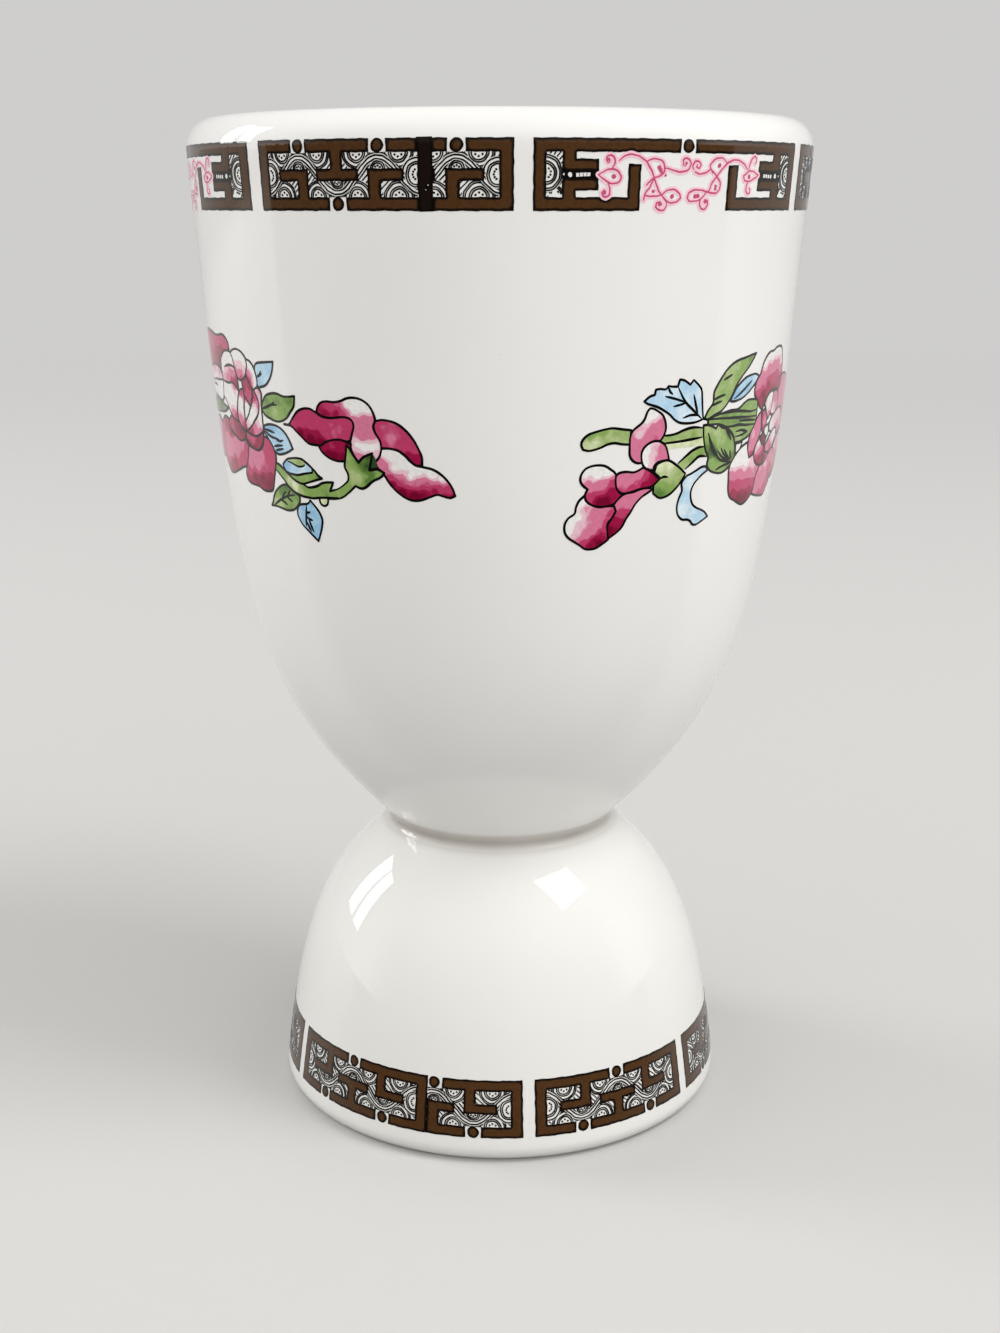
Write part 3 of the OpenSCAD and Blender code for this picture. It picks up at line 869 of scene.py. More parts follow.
def wrapper() -> Modifier:
    """Builds the tree that repeats a flat film round a cup and lays each copy on its outside.

    Returns:
        The tree, with the inputs Cup, Count, First, Pitch, Radius, Reach and Material. First and
        Pitch are turns round the cup in radians, and Radius is where the film is drawn true.
    """
    numbers = dict.fromkeys(("First", "Pitch", "Radius", "Reach"), "NodeSocketFloat")
    tool = Modifier("wrap", {"Cup": "NodeSocketObject", "Count": "NodeSocketInt", **numbers,
                             "Material": "NodeSocketMaterial"})
    tree, given = tool.tree, tool.given
    spots = add_node(tree, "GeometryNodePoints", {"Count": given["Count"]})
    copies = add_node(tree, "GeometryNodeInstanceOnPoints", {"Points": spots.outputs[0],
                                                             "Instance": given["Geometry"]})
    index = add_node(tree, "GeometryNodeInputIndex").outputs[0]
    turn = add_node(tree, "ShaderNodeMath", {0: index, 1: given["Pitch"], 2: given["First"]},
                    operation="MULTIPLY_ADD")
    marked = add_node(tree, "GeometryNodeStoreNamedAttribute", {
        "Geometry": copies.outputs[0], "Name": "turn", "Value": turn.outputs[0]},
        data_type="FLOAT", domain="INSTANCE")
    real = add_node(tree, "GeometryNodeRealizeInstances", {"Geometry": marked.outputs[0]})
    place = add_node(tree, "GeometryNodeInputPosition").outputs[0]
    flat = add_node(tree, "ShaderNodeSeparateXYZ", {0: place}).outputs
    own = add_node(tree, "GeometryNodeInputNamedAttribute", {"Name": "turn"}, data_type="FLOAT")
    arc = add_node(tree, "ShaderNodeMath", {0: flat["X"], 1: given["Radius"]}, operation="DIVIDE")
    angle = add_node(tree, "ShaderNodeMath", {0: arc.outputs[0], 1: own.outputs["Attribute"]},
                     operation="ADD")
    out = add_node(tree, "ShaderNodeVectorRotate", {
        "Vector": FRONT, "Axis": UP, "Angle": angle.outputs[0]}, rotation_type="AXIS_ANGLE").outputs[0]
    level = add_node(tree, "ShaderNodeCombineXYZ", {"Z": flat["Y"]})
    outside = add_node(tree, "ShaderNodeVectorMath", {0: out, "Scale": given["Reach"]}, operation="SCALE")
    source = add_node(tree, "ShaderNodeVectorMath", {0: outside.outputs[0], 1: level.outputs[0]},
                      operation="ADD")
    inward = add_node(tree, "ShaderNodeVectorMath", {0: out, "Scale": -1.0}, operation="SCALE")
    cup = add_node(tree, "GeometryNodeObjectInfo", {"Object": given["Cup"]})
    ray = add_node(tree, "GeometryNodeRaycast", {
        "Target Geometry": cup.outputs["Geometry"], "Source Position": source.outputs[0],
        "Ray Direction": inward.outputs[0], "Ray Length": given["Reach"]}).outputs
    lift = add_node(tree, "ShaderNodeVectorMath", {0: ray["Hit Normal"], "Scale": flat["Z"]},
                    operation="SCALE")
    laid = add_node(tree, "ShaderNodeVectorMath", {0: ray["Hit Position"], 1: lift.outputs[0]},
                    operation="ADD")
    moved = add_node(tree, "GeometryNodeSetPosition", {"Geometry": real.outputs[0],
                                                       "Position": laid.outputs[0]})
    tool.end(moved.outputs[0])
    return tool


@dataclass
class Workshop:
    """The tools and finishes that every sub-assembly uses."""

    lathe: Modifier
    wrapper: Modifier
    enamels: dict[Enamel, bpy.types.Material]

    def place(self, name: str, mesh: Mesh, slot: str, *nodes: str) -> bpy.types.Object:
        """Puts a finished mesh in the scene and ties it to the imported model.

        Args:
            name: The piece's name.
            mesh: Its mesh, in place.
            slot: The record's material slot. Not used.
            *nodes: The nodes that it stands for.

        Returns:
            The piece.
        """
        piece = put(name, mesh)
        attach(piece, BODY)
        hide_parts(*nodes)
        log.info("%s: %d triangles", name, sum(len(p.vertices) - 2 for p in mesh.polygons))
        return piece


# The clay

@dataclass
class Outline:
    """The outside of a cup: rows of radius and height that climb from the lowest."""

    points: np.ndarray
    nudge: float = 0.02

    def radius(self, z: float) -> float:
        """Returns the radius at a height."""
        return float(np.interp(z, self.points[:, 1], self.points[:, 0]))

    def normals(self, points: np.ndarray) -> np.ndarray:
        """Returns the direction square to the outside at points on it, given in metres."""
        z, nudge = points[:, 2] / MM, self.nudge
        slope = (np.interp(z + nudge, self.points[:, 1], self.points[:, 0])
                 - np.interp(z - nudge, self.points[:, 1], self.points[:, 0])) / (2 * nudge)
        length = np.linalg.norm(points[:, :2], axis=1)
        around = points[:, :2] / np.maximum(length, LEAST_LENGTH)[:, None]
        normal = np.column_stack([around, -slope])
        return normal / np.linalg.norm(normal, axis=1)[:, None]


def turned(workshop: Workshop, profile: np.ndarray, material: bpy.types.Material, steps: int) -> Mesh:
    """Turns a closed profile on the lathe.

    Args:
        workshop: The tools.
        profile: Rows of radius and height, from the axis to the axis, up the outside.
        material: The finish.
        steps: Facets round the axis.

    Returns:
        The mesh, smooth but for its sharp corners.
    """
    line = bpy.data.meshes.new("profile")
    points = [(r * MM, 0.0, z * MM) for r, z in profile]
    line.from_pydata(points, [(i, i + 1) for i in range(len(points) - 1)], [])
    mesh = workshop.lathe.apply(line, Steps=steps, Material=material)
    mesh.set_sharp_from_angle(angle=math.radians(SHARP_EDGE))
    return mesh


@dataclass
class Waist:
    """The place where the two cups are stuck together."""

    z: float = 28.8
    diameter: float = 22.3
    rise_up: float = 45.3
    fall_down: float = 37.0
    slip: float = 0.5
    reach: float = 1.1

    @property
    def middle(self) -> np.ndarray:
        """The point, as radius and height, where the two outsides would meet."""
        return np.array([self.diameter / 2, self.z])

    def above(self, length: float) -> np.ndarray:
        """Returns the point a length up the large cup's outside."""
        return self.middle + polar(length, self.rise_up)

    def below(self, length: float) -> np.ndarray:
        """Returns the point a length down the small cup's outside."""
        return self.middle + polar(length, -self.fall_down)

    @property
    def large_face(self) -> np.ndarray:
        """The edge of the large cup's flat face."""
        return self.above(self.slip / 2 / math.sin(math.radians(self.rise_up)))

    @property
    def small_face(self) -> np.ndarray:
        """The edge of the small cup's flat face."""
        return self.below(self.slip / 2 / math.sin(math.radians(self.fall_down)))


@dataclass
class LargeCup:
    """The large cup: an egg-shaped bowl with a rounded lip."""

    waist: Waist
    height: float = 98.0
    rim_diameter: float = 59.5
    wall: float = 3.4
    lip_rise: float = 2.8
    lip_depth: float = 2.4
    lip_inner_rise: float = 2.0
    floor: float = 6.2
    side_lean: float = 4.3
    rim_handle: float = 0.69
    waist_handle: float = 0.29
    hollow_side: float = 0.82
    hollow_floor: float = 0.74
    steps: int = 288
    finish: GlazedEarthenware = GlazedEarthenware("glazed_white_earthenware")

    @property
    def lip_middle(self) -> np.ndarray:
        """The middle of the outer rounding of the lip."""
        return np.array([self.rim_diameter / 2 - self.lip_depth, self.height - self.lip_rise])

    def outside(self) -> Outline:
        """Returns the outside, from the fillet up to the crown of the lip."""
        rise = self.height - self.lip_rise - self.waist.z
        top = np.array([self.rim_diameter / 2, self.height - self.lip_rise])
        start = self.waist.above(self.waist.reach)
        side = bezier(start, start + polar(self.waist_handle * rise, self.waist.rise_up),
                      top - polar(self.rim_handle * rise, 90 - self.side_lean), top, steps=110)
        lip = rounding(self.lip_middle, self.lip_depth, self.lip_rise, 0, 90, steps=18)
        return Outline(np.vstack([side, lip[1:]]))

    def hollow(self) -> np.ndarray:
        """Returns the inside, from the crown of the lip down to the middle of the floor."""
        radius = self.rim_diameter / 2 - self.wall
        top = self.height - self.lip_inner_rise
        bottom = self.waist.z + self.floor
        crown = np.array([self.lip_middle[0], top])
        lip = rounding(crown, self.wall - self.lip_depth, self.lip_inner_rise, 90, 180, steps=12)
        reach = self.hollow_side * (top - bottom)
        side = bezier(np.array([radius, top]), np.array([radius, top]) - polar(reach, 90 - self.side_lean),
                      np.array([self.hollow_floor * radius, bottom]), np.array([0.0, bottom]), steps=90)
        return np.vstack([lip[1:], side[1:]])

    def build(self, workshop: Workshop) -> bpy.types.Object:
        """Makes the cup, and returns the piece."""
        face = self.waist.large_face
        profile = np.vstack([[0.0, face[1]], face, self.outside().points, self.hollow()])
        mesh = turned(workshop, profile, self.finish.material(), self.steps)
        return workshop.place("large_cup_glazed", mesh, "glazed_clay", "large_cup")


@dataclass
class SmallCup:
    """The small upturned cup, on whose mouth the egg cup stands."""

    waist: Waist
    foot_diameter: float = 45.8
    wall: float = 3.3
    foot_rise: float = 1.7
    foot_depth: float = 1.6
    inner_rise: float = 1.4
    rest: float = 0.8
    floor: float = 5.4
    lean: float = 7.0
    waist_handle: float = 0.353
    foot_handle: float = 0.46
    hollow_side: float = 0.64
    hollow_floor: float = 0.8
    steps: int = 240
    # The small cup's white is a little greyer than the large cup's: a painted shade for the overhang of the
    # large cup above it
    finish: GlazedEarthenware = GlazedEarthenware(
        "glazed_white_earthenware_painted_shade", colour="#e5e4e0", cloud="#dfdeda")

    def outside(self) -> Outline:
        """Returns the outside, from the resting ring up to the fillet."""
        rise = self.waist.z - self.foot_rise
        foot = np.array([self.foot_diameter / 2, self.foot_rise])
        start = self.waist.below(self.waist.reach)
        side = bezier(start, start + polar(self.waist_handle * rise, -self.waist.fall_down),
                      foot + polar(self.foot_handle * rise, 90 + self.lean), foot, steps=80)
        lip = rounding(foot - [self.foot_depth, 0], self.foot_depth, self.foot_rise, 0, -90, steps=14)
        return Outline(np.vstack([side, lip[1:]])[::-1])

    def hollow(self) -> np.ndarray:
        """Returns the inside, from the middle of its floor down to the resting ring."""
        radius = self.foot_diameter / 2 - self.wall
        top = self.waist.z - self.floor
        inner = self.foot_diameter / 2 - self.foot_depth - self.rest
        side = bezier(np.array([0.0, top]), np.array([self.hollow_floor * radius, top]),
                      np.array([radius, self.inner_rise])
                      + polar(self.hollow_side * (top - self.inner_rise), 90 + self.lean),
                      np.array([radius, self.inner_rise]), steps=60)
        lip = rounding(np.array([inner, self.inner_rise]), inner - radius, self.inner_rise, 180, 270,
                       steps=10)
        return np.vstack([side, lip[1:]])

    def build(self, workshop: Workshop) -> bpy.types.Object:
        """Makes the cup, and returns the piece."""
        face = self.waist.small_face
        profile = np.vstack([self.hollow(), self.outside().points, face, [0.0, face[1]]])
        mesh = turned(workshop, profile, self.finish.material(), self.steps)
        return workshop.place("small_cup_glazed", mesh, "glazed_clay", "small_cup")


@dataclass
class SlipJoint:
    """The slip between the two flat faces, with its fillet wiped round the waist."""

    waist: Waist
    steps: int = 240
    finish: GlazedEarthenware = GlazedEarthenware("glazed_white_slip")

    def build(self, workshop: Workshop) -> bpy.types.Object:
        """Makes the joint, and returns the piece."""
        waist = self.waist
        half = (waist.rise_up + waist.fall_down) / 2
        radius = waist.reach * math.tan(math.radians(half))
        middle = waist.middle + polar(waist.reach / math.cos(math.radians(half)),
                                      (waist.rise_up - waist.fall_down) / 2)
        arc = rounding(middle, radius, radius, 270 - waist.fall_down, 90 + waist.rise_up, steps=16)
        profile = np.vstack([[0.0, waist.small_face[1]], waist.small_face, arc, waist.large_face,
                             [0.0, waist.large_face[1]]])
        mesh = turned(workshop, profile, self.finish.material(), self.steps)
        return workshop.place("slip_fillet_glazed", mesh, "glazed_slip", "slip_joint")


# Transfers

@dataclass
class Transfer:
    """A drawing laid on a cup.

    Attributes:
        cup: The cup that carries it.
        outside: The cup's outside.
        radius: Radius at which the sheet is as long as the cup is round.
        facing_out: How squarely a face has to look outwards to be the film's top.
    """

    cup: bpy.types.Object
    outside: Outline
    radius: float
    facing_out: float = 0.6

    def lay(self, workshop: Workshop, films: dict[Enamel, Film], turns: tuple[float, float, int],
            meshes: Meshes) -> None:
        """Wraps the films of a sheet round the cup.

        Args:
            workshop: The tools.
            films: The films.
            turns: The first copy's azimuth, the pitch from copy to copy, in degrees, and the count.
            meshes: The lists that get the new meshes, by enamel.
        """
        first, pitch, count = turns
        for enamel, film in films.items():
            mesh = workshop.wrapper.apply(
                film.solid(enamel.value), Cup=self.cup, Count=count, First=math.radians(first),
                Pitch=math.radians(pitch), Radius=self.radius * MM, Reach=2 * self.radius * MM,
                Material=workshop.enamels[enamel])
            self.set_normals(mesh)
            meshes.setdefault(enamel, []).append(mesh)

    def set_normals(self, mesh: Mesh) -> None:
        """Makes the film catch the light just as the glaze round it does."""
        points = np.zeros(len(mesh.vertices) * 3)
        mesh.vertices.foreach_get("co", points)
        corner = np.zeros(len(mesh.loops), int)
        mesh.loops.foreach_get("vertex_index", corner)
        flat = np.zeros(len(mesh.polygons) * 3)
        mesh.polygons.foreach_get("normal", flat)
        sizes = np.zeros(len(mesh.polygons), int)
        mesh.polygons.foreach_get("loop_total", sizes)
        face = np.repeat(flat.reshape(-1, 3), sizes, 0)
        normal = self.outside.normals(points.reshape(-1, 3))[corner]
        top = (face * normal).sum(1) > self.facing_out
        mesh.normals_split_custom_set(np.where(top[:, None], normal, face).tolist())

    def place(self, workshop: Workshop, name: str, meshes: Meshes, node: str) -> None:
        """Joins the meshes of each enamel into one piece that stands for a node.

        Args:
            workshop: The tools.
            name: The start of the pieces' names.
            meshes: The meshes, by enamel.
            node: The node.
        """
        for enamel, parts in meshes.items():
            piece = workshop.place(f"{name}_{enamel.value}", parts[0], SLOTS.get(enamel, PETAL_SLOT), node)
            others = [put("part", part) for part in parts[1:]]
            if others:
                with bpy.context.temp_override(active_object=piece,
                                               selected_editable_objects=[piece, *others]):
                    bpy.ops.object.join()


@dataclass
class FretPanel:
    """A panel of the key fret, drawn about its middle and from its foot up.

    Attributes:
        shares: Places and lengths as shares of the panel's width, and one rise as a share of its height.
        cell_medal: How far from the finger's post and from the bar the cell's small medallion lies.
        hatch_sway: How far a hatched line sways, and how fast.
        round_beads: Distance inwards from the middle of the finger's post, radius and corners of each.
        lap_past: How far the lapped band runs past the foot and the top.
        lap_specks: Share of the lap's width from its end, share of the height and radius of each.
        butt_specks: Distance from the cut panel's post, share of the height and radius of each.
    """

    kind: Panel
    width: float
    height: float
    bar: float = 1.1
    inner_bar: float = 1.0
    post: float = 1.2
    finger_post: float = 1.3
    dot: float = 1.14
    dot_break: float = 1.5
    low_dot_break: float = 1.62
    flipped: bool = False
    shares: dict[str, float] = field(default_factory=lambda: {
        "hook": 0.205, "hook_tip": 0.358, "tee_tip": 0.12, "dot": 0.226, "bracket": 0.343,
        "finger_post": 0.114, "finger_tip": 0.207, "bracket_rise": 0.65})
    finger_gap: float = 0.5
    line: float = 0.13
    rings: tuple[float, ...] = (0.62, 0.8, 1.12, 1.28)
    small_rings: tuple[float, ...] = (0.44, 0.6)
    end_rings: tuple[float, ...] = (0.82, 1.0, 1.32)
    cell_rings: tuple[float, ...] = (0.74, 0.92, 1.24, 1.42)
    cell_medal: tuple[float, float] = (0.55, 0.3)
    side_medal: float = 1.9
    outer_medal: float = 1.47
    seed: float = 0.1
    seed_place: float = 0.54
    seed_fan: float = 58.0
    hatch: float = 0.34
    hatch_line: float = 0.115
    hatch_pitch: float = 1.41
    hatch_tuck: float = 0.1
    hatch_sway: tuple[float, float] = (0.05, 3.0)
    wave_share: float = 0.8
    wave_lines: tuple[float, ...] = (-0.36, -0.15, 0.15, 0.36)
    wave_swell: float = 1.25
    slit: float = 0.28
    round_beads: tuple[tuple[float, float, int], ...] = ((-0.5, 0.1, 8), (0.08, 0.21, 12))
    square_beads: int = 4
    square_bead: float = 0.15
    square_start: float = 0.78
    square_pitch: float = 0.34
    blush_line: float = 0.5
    vine_line: float = 0.165
    vine_taper: float = 0.3
    lean: float = -0.85
    margin: float = 3.0
    lap_past: tuple[float, float] = (0.05, 0.07)
    lap_lip: float = 0.04
    lap_edge: tuple[Wave, ...] = (Wave(0.08, 0.0, 1.7, 0.6), Wave(0.05, 0.0, 6.1))
    lap_specks: tuple[tuple[float, float, float], ...] = ((0.3, 0.36, 0.06), (0.44, 0.29, 0.05))
    butt_fill: float = 1.0
    butt_specks: tuple[tuple[float, float, float], ...] = ((0.2, 0.77, 0.09), (0.12, 0.66, 0.06))
    tremble: float = 0.022
    tremble_across: tuple[Wave, ...] = (Wave(1.0, 1.3, 4.1), Wave(0.6, 0.0, 9.7, 2.0))
    tremble_up: tuple[Wave, ...] = (Wave(1.0, 3.3, 1.1), Wave(0.6, 8.9, 0.0, 0.7))

    def span(self, name: str) -> float:
        """Returns a named share of the panel's width."""
        return self.shares[name] * self.width

    def level_bars(self, y: float, breaks: list[float], room: float) -> list[tuple[float, ...]]:
        """Cuts a level bar into pieces.

        Args:
            y: The height of its lower side.
            breaks: The middles of its breaks.
            room: The width of a break.

        Returns:
            The pieces as corner pairs.
        """
        edges = [-self.width / 2]
        for place in breaks:
            edges += [place - room / 2, place + room / 2]
        edges.append(self.width / 2)
        return [(a, y, b, y + self.bar) for a, b in zip(edges[::2], edges[1::2])]

    def closed_marks(self) -> tuple[list[tuple[float, ...]], list[tuple[float, float]]]:
        """Returns the bars of a closed panel as corner pairs, and the middles of its dots."""
        w, h, b, p = self.width, self.height, self.bar, self.post
        low, high, dot = (h - self.inner_bar) / 2, (h + self.inner_bar) / 2, self.span("dot")
        bars = self.level_bars(h - b, [-dot, dot], self.dot_break)
        bars += self.level_bars(0, [0], self.low_dot_break)
        bars += [(-p / 2, low, p / 2, h), (-self.span("tee_tip"), low, self.span("tee_tip"), high)]
        for side in (-1, 1):
            post, end = side * self.span("hook"), side * w / 2
            bars += [(end - side * p, 0, end, h), (post - p / 2, 0, post + p / 2, high),
                     (post - side * p / 2, low, side * self.span("hook_tip"), high)]
        return bars, [(0, b / 2), (-dot, h - b / 2), (dot, h - b / 2)]

    def open_marks(self) -> tuple[list[tuple[float, ...]], list[tuple[float, float]]]:
        """Returns the bars of an open panel as corner pairs, and the middle of its dot."""
        w, h, b, p, gap = self.width, self.height, self.bar, self.post, self.finger_gap
        bars = self.level_bars(h - b, [0], self.dot_break)
        for side in (-1, 1):
            end = side * w / 2
            post, tip, bracket = (end - side * self.span(name)
                                  for name in ("finger_post", "finger_tip", "bracket"))
            bars += [(end - side * p, 0, end, h), (bracket, 0, end, b),
                     (bracket, 0, bracket + side * p, self.shares["bracket_rise"] * h),
                     (post - self.finger_post / 2, 0, post + self.finger_post / 2, h)]
            bars += [(post, y, tip, y + self.inner_bar)
                     for y in ((h - gap) / 2 - self.inner_bar, (h + gap) / 2)]
        return bars, [(0, h - b / 2)]

    def draw(self, sheet: Sheet, y: float, overlap: float = 0.0, butted: bool = False) -> None:
        """Draws the panel on a sheet, with its middle at x = 0.

        Args:
            sheet: The sheet.
            y: Where its foot goes, or its top when it is flipped.
            overlap: Width at its right end over which another strip lies.
            butted: Whether another strip ends against its middle post.
        """
        own = Sheet(sheet.spacing)
        bars, dots = self.closed_marks() if self.kind is Panel.CLOSED else self.open_marks()
        if self.kind is Panel.CLOSED:
            self.lace(own)
        else:
            self.end_cells(own)
        self.clear_frame(own)
        for x0, y0, x1, y1 in bars:
            own.area(Enamel.BROWN, box(min(x0, x1), min(y0, y1), max(x0, x1), max(y0, y1)))
        for dx, dy in dots:
            own.area(Enamel.BROWN, circle(dx, dy, self.dot / 2, steps=18))
        if self.kind is Panel.OPEN:
            self.beads(own)
            self.vine(own)
        if overlap:
            self.lap(own, overlap)
        if butted:
            self.butt(own)
        shift = np.array([0, y])
        turn = np.array([1.0, -1.0]) if self.flipped else np.array([1.0, 1.0])
        for mark in own.marks:
            line = mark.loop if isinstance(mark, Area) else mark.line
            if mark.enamel not in (Enamel.SCROLL, Enamel.BLUSH):
                line = self.leaning(line)
            line = self.by_hand(line) * turn + shift
            if isinstance(mark, Area):
                sheet.area(mark.enamel, line)
            else:
                sheet.marks.append(Stroke(mark.enamel, line, mark.half))

    def lap(self, sheet: Sheet, width: float) -> None:
        """Draws the dark band where another strip laps over the panel's right end, with white specks."""
        end = self.width / 2
        y = np.linspace(-self.lap_past[0], self.height + self.lap_past[1], 13)
        ragged = sum((wave.at(0.0, y) for wave in self.lap_edge), end - width)
        lip = [[end + self.lap_lip, y[-1]], [end + self.lap_lip, y[0]]]
        sheet.area(Enamel.OVERLAP, np.vstack([np.stack([ragged, y], 1), lip]))
        for x, rise, r in self.lap_specks:
            sheet.area(Enamel.BARE, circle(end - x * width, rise * self.height, r, steps=7))

    def butt(self, sheet: Sheet) -> None:
        """Fills the room beside a cut panel's middle post, where another strip ends against it."""
        h, post = self.height, self.post / 2
        sheet.area(Enamel.BROWN, box(-post - self.butt_fill, (h - self.bar) / 2, 0, h))
        for x, rise, r in self.butt_specks:
            sheet.area(Enamel.BARE, circle(-post - x, rise * h, r, steps=7))

    def leaning(self, points: np.ndarray) -> np.ndarray:
        """Shifts the middle of an open panel to one side, and leaves its ends in place."""
        if self.kind is Panel.CLOSED:
            return points
        return points + [self.lean, 0] * (1 - (2 * points[:, :1] / self.width) ** 2)

    def by_hand(self, points: np.ndarray) -> np.ndarray:
        """Shifts points a hair, so that no edge is dead straight."""
        shifts = [sum(wave.at(points[:, 0], points[:, 1]) for wave in waves)
                  for waves in (self.tremble_across, self.tremble_up)]
        return points + self.tremble * np.stack(shifts, 1)

    def clear_frame(self, sheet: Sheet) -> None:
        """Wipes the ground under the frame and beyond it."""
        w, h, b, p = self.width / 2, self.height, self.bar, self.post
        far, low, high = w + self.margin, -self.margin, h + self.margin
        for x0, y0, x1, y1 in ((-far, h - b, far, high), (-far, low, far, b), (-far, low, p - w, high),
                               (w - p, low, far, high)):
            sheet.area(Enamel.BARE, box(x0, y0, x1, y1))

    def medal(self, sheet: Sheet, x: float, y: float, facing: float, rings: tuple[float, ...],
              seeds: int = 3) -> None:
        """Draws a half medallion, round on the side that it faces.

        Args:
            sheet: The sheet.
            x: Its middle across.
            y: Its middle in height.
            facing: The angle that it faces, in degrees.
            rings: The radii of its rings.
            seeds: How many seeds it has.
        """
        middle = np.array([x, y])
        sheet.area(Enamel.BARE, circle(x, y, rings[-1] + self.line, steps=28))
        for r in rings:
            sheet.stroke(Enamel.LINE, rounding(middle, r, r, facing - 90, facing + 90, steps=18), self.line)
        for turn in np.linspace(-self.seed_fan, self.seed_fan, seeds):
            place = middle + polar(rings[0] * self.seed_place, facing + turn)
            sheet.area(Enamel.LINE, circle(*place, self.seed, steps=8))

    def hatching(self, sheet: Sheet, x0: float, x1: float) -> None:
        """Fills a stretch of the panel with slanted fine lines.

        Args:
            sheet: The sheet.
            x0: The left end of the stretch.
            x1: Its right end.
        """
        low, high = self.bar - self.hatch_tuck, self.height - self.bar + self.hatch_tuck
        sway, pace = self.hatch_sway
        for k, x in enumerate(np.arange(x0 - (high - low), x1, self.hatch * self.hatch_pitch)):
            a, b = max(0.0, x0 - x), min(high - low, x1 - x)
            if b - a > self.hatch:
                t = np.linspace(a, b, 7)
                bent = np.stack([x + t, low + t + sway * np.sin(pace * t + k)], 1)
                sheet.stroke(Enamel.LINE, bent, self.hatch_line)

    def lace(self, sheet: Sheet) -> None:
        """Draws what fills a closed panel: hatching, medallions in two rows, and a wave between them."""
        w, h, b = self.width, self.height, self.bar
        edge, dot = w / 2 - self.post, self.span("dot")
        self.hatching(sheet, -edge, edge)
        rows = [(end * x, y, facing) for end in (-1, 1) for x in (dot / 2, dot * self.outer_medal)
                for y, facing in ((h - b, -90), (b, 90))]
        for x, y, facing in rows:
            self.medal(sheet, x, y, facing, self.rings)
        for end in (-1, 1):
            self.medal(sheet, end * edge, h / 2, 90 + end * 90, self.end_rings, 5)
        x = np.linspace(-edge, edge, 121)
        swing = (h / 2 - b) * self.wave_share
        wave = np.stack([x, h / 2 + swing * np.cos(math.pi * (x - dot) / dot)], 1)
        run = np.gradient(wave, axis=0)
        side = np.stack([-run[:, 1], run[:, 0]], 1) / np.linalg.norm(run, axis=1)[:, None]
        half = self.wave_lines[-1]
        sheet.area(Enamel.BARE, np.vstack([wave + side * half, (wave - side * half)[::-1]]))
        for offset in self.wave_lines:
            sheet.stroke(Enamel.LINE, wave + side * offset, self.line * (self.wave_swell - abs(offset)))
        for x, y, facing in rows:
            self.medal(sheet, x, y, facing, self.rings[:2])
        for end in (-1, 1):
            self.medal(sheet, end * dot, (h + self.inner_bar) / 2, 90, self.small_rings)
            self.medal(sheet, end * edge, h / 2, 90 + end * 90, self.end_rings[:2], 5)
        self.medal(sheet, 0, (h - self.inner_bar) / 2, -90, self.small_rings)

    def end_cells(self, sheet: Sheet) -> None:
        """Draws what fills the cells at both ends of an open panel."""
        w, b = self.width, self.bar
        for side in (-1, 1):
            end = side * (w / 2 - self.post)
            inner = side * (w / 2 - self.span("finger_post") + self.finger_post / 2)
            self.hatching(sheet, min(end, inner), max(end, inner))
            along, rise = self.cell_medal
            self.medal(sheet, inner + side * along, b + rise, 90, self.small_rings, 1)
            self.medal(sheet, end, b + self.side_medal, 90 + side * 90, self.cell_rings, 4)

    def beads(self, sheet: Sheet) -> None:
        """Draws the dark slits between the fingers of an open panel, with white beads in them."""
        y, bead = self.height / 2, self.square_bead
        for side in (-1, 1):
            post, tip = (side * (self.width / 2 - self.span(name)) for name in ("finger_post", "finger_tip"))
            start = post + side * self.finger_post / 2
            sheet.area(Enamel.OVERLAP, box(min(start, tip), y - self.slit, max(start, tip), y + self.slit))
            for along, r, corners in self.round_beads:
                sheet.area(Enamel.BARE, circle(post - side * along, y, r, corners))
            for k in range(self.square_beads):
                x = post - side * (self.square_start + self.square_pitch * k)
                sheet.area(Enamel.BARE, box(x - bead, y - bead, x + bead, y + bead))

    def vine(self, sheet: Sheet) -> None:
        """Draws the pink vine of an open panel, with a pale blush round its lines."""
        lines = [smooth(VINE_PAPER.points(text), step=0.09) for text in VINE]
        for line in lines:
            sheet.stroke(Enamel.BLUSH, line, self.blush_line)
        for line in lines:
            sheet.stroke(Enamel.SCROLL, line, self.vine_line, self.vine_taper)
        for text, r in SEEDS:
            for x, y in VINE_PAPER.points(text):
                sheet.area(Enamel.SCROLL, circle(x, y, r, steps=10))


@dataclass(frozen=True)
class Paper:
    """The squared paper that a drawing was made on.

    Attributes:
        squares: Squares to a millimetre of the sheet.
        left: Where on the sheet the paper's left edge lies.
        top: Height of the paper's top edge.
        stretch: How much the paper is stretched from left to right.
        bend: How much more it is stretched further right.
    """

    squares: float
    left: float
    top: float
    stretch: float = 1.0
    bend: float = 0.0

    def points(self, text: str) -> np.ndarray:
        """Turns places on the paper, counted right and down, to places on the sheet."""
        rows = np.array([[float(n) for n in pair.split(",")] for pair in text.split()])
        along = rows[:, 0] / self.squares
        rows[:, 0] = self.left + along * (self.stretch + self.bend * along)
        rows[:, 1] = self.top - rows[:, 1] / self.squares
        return rows


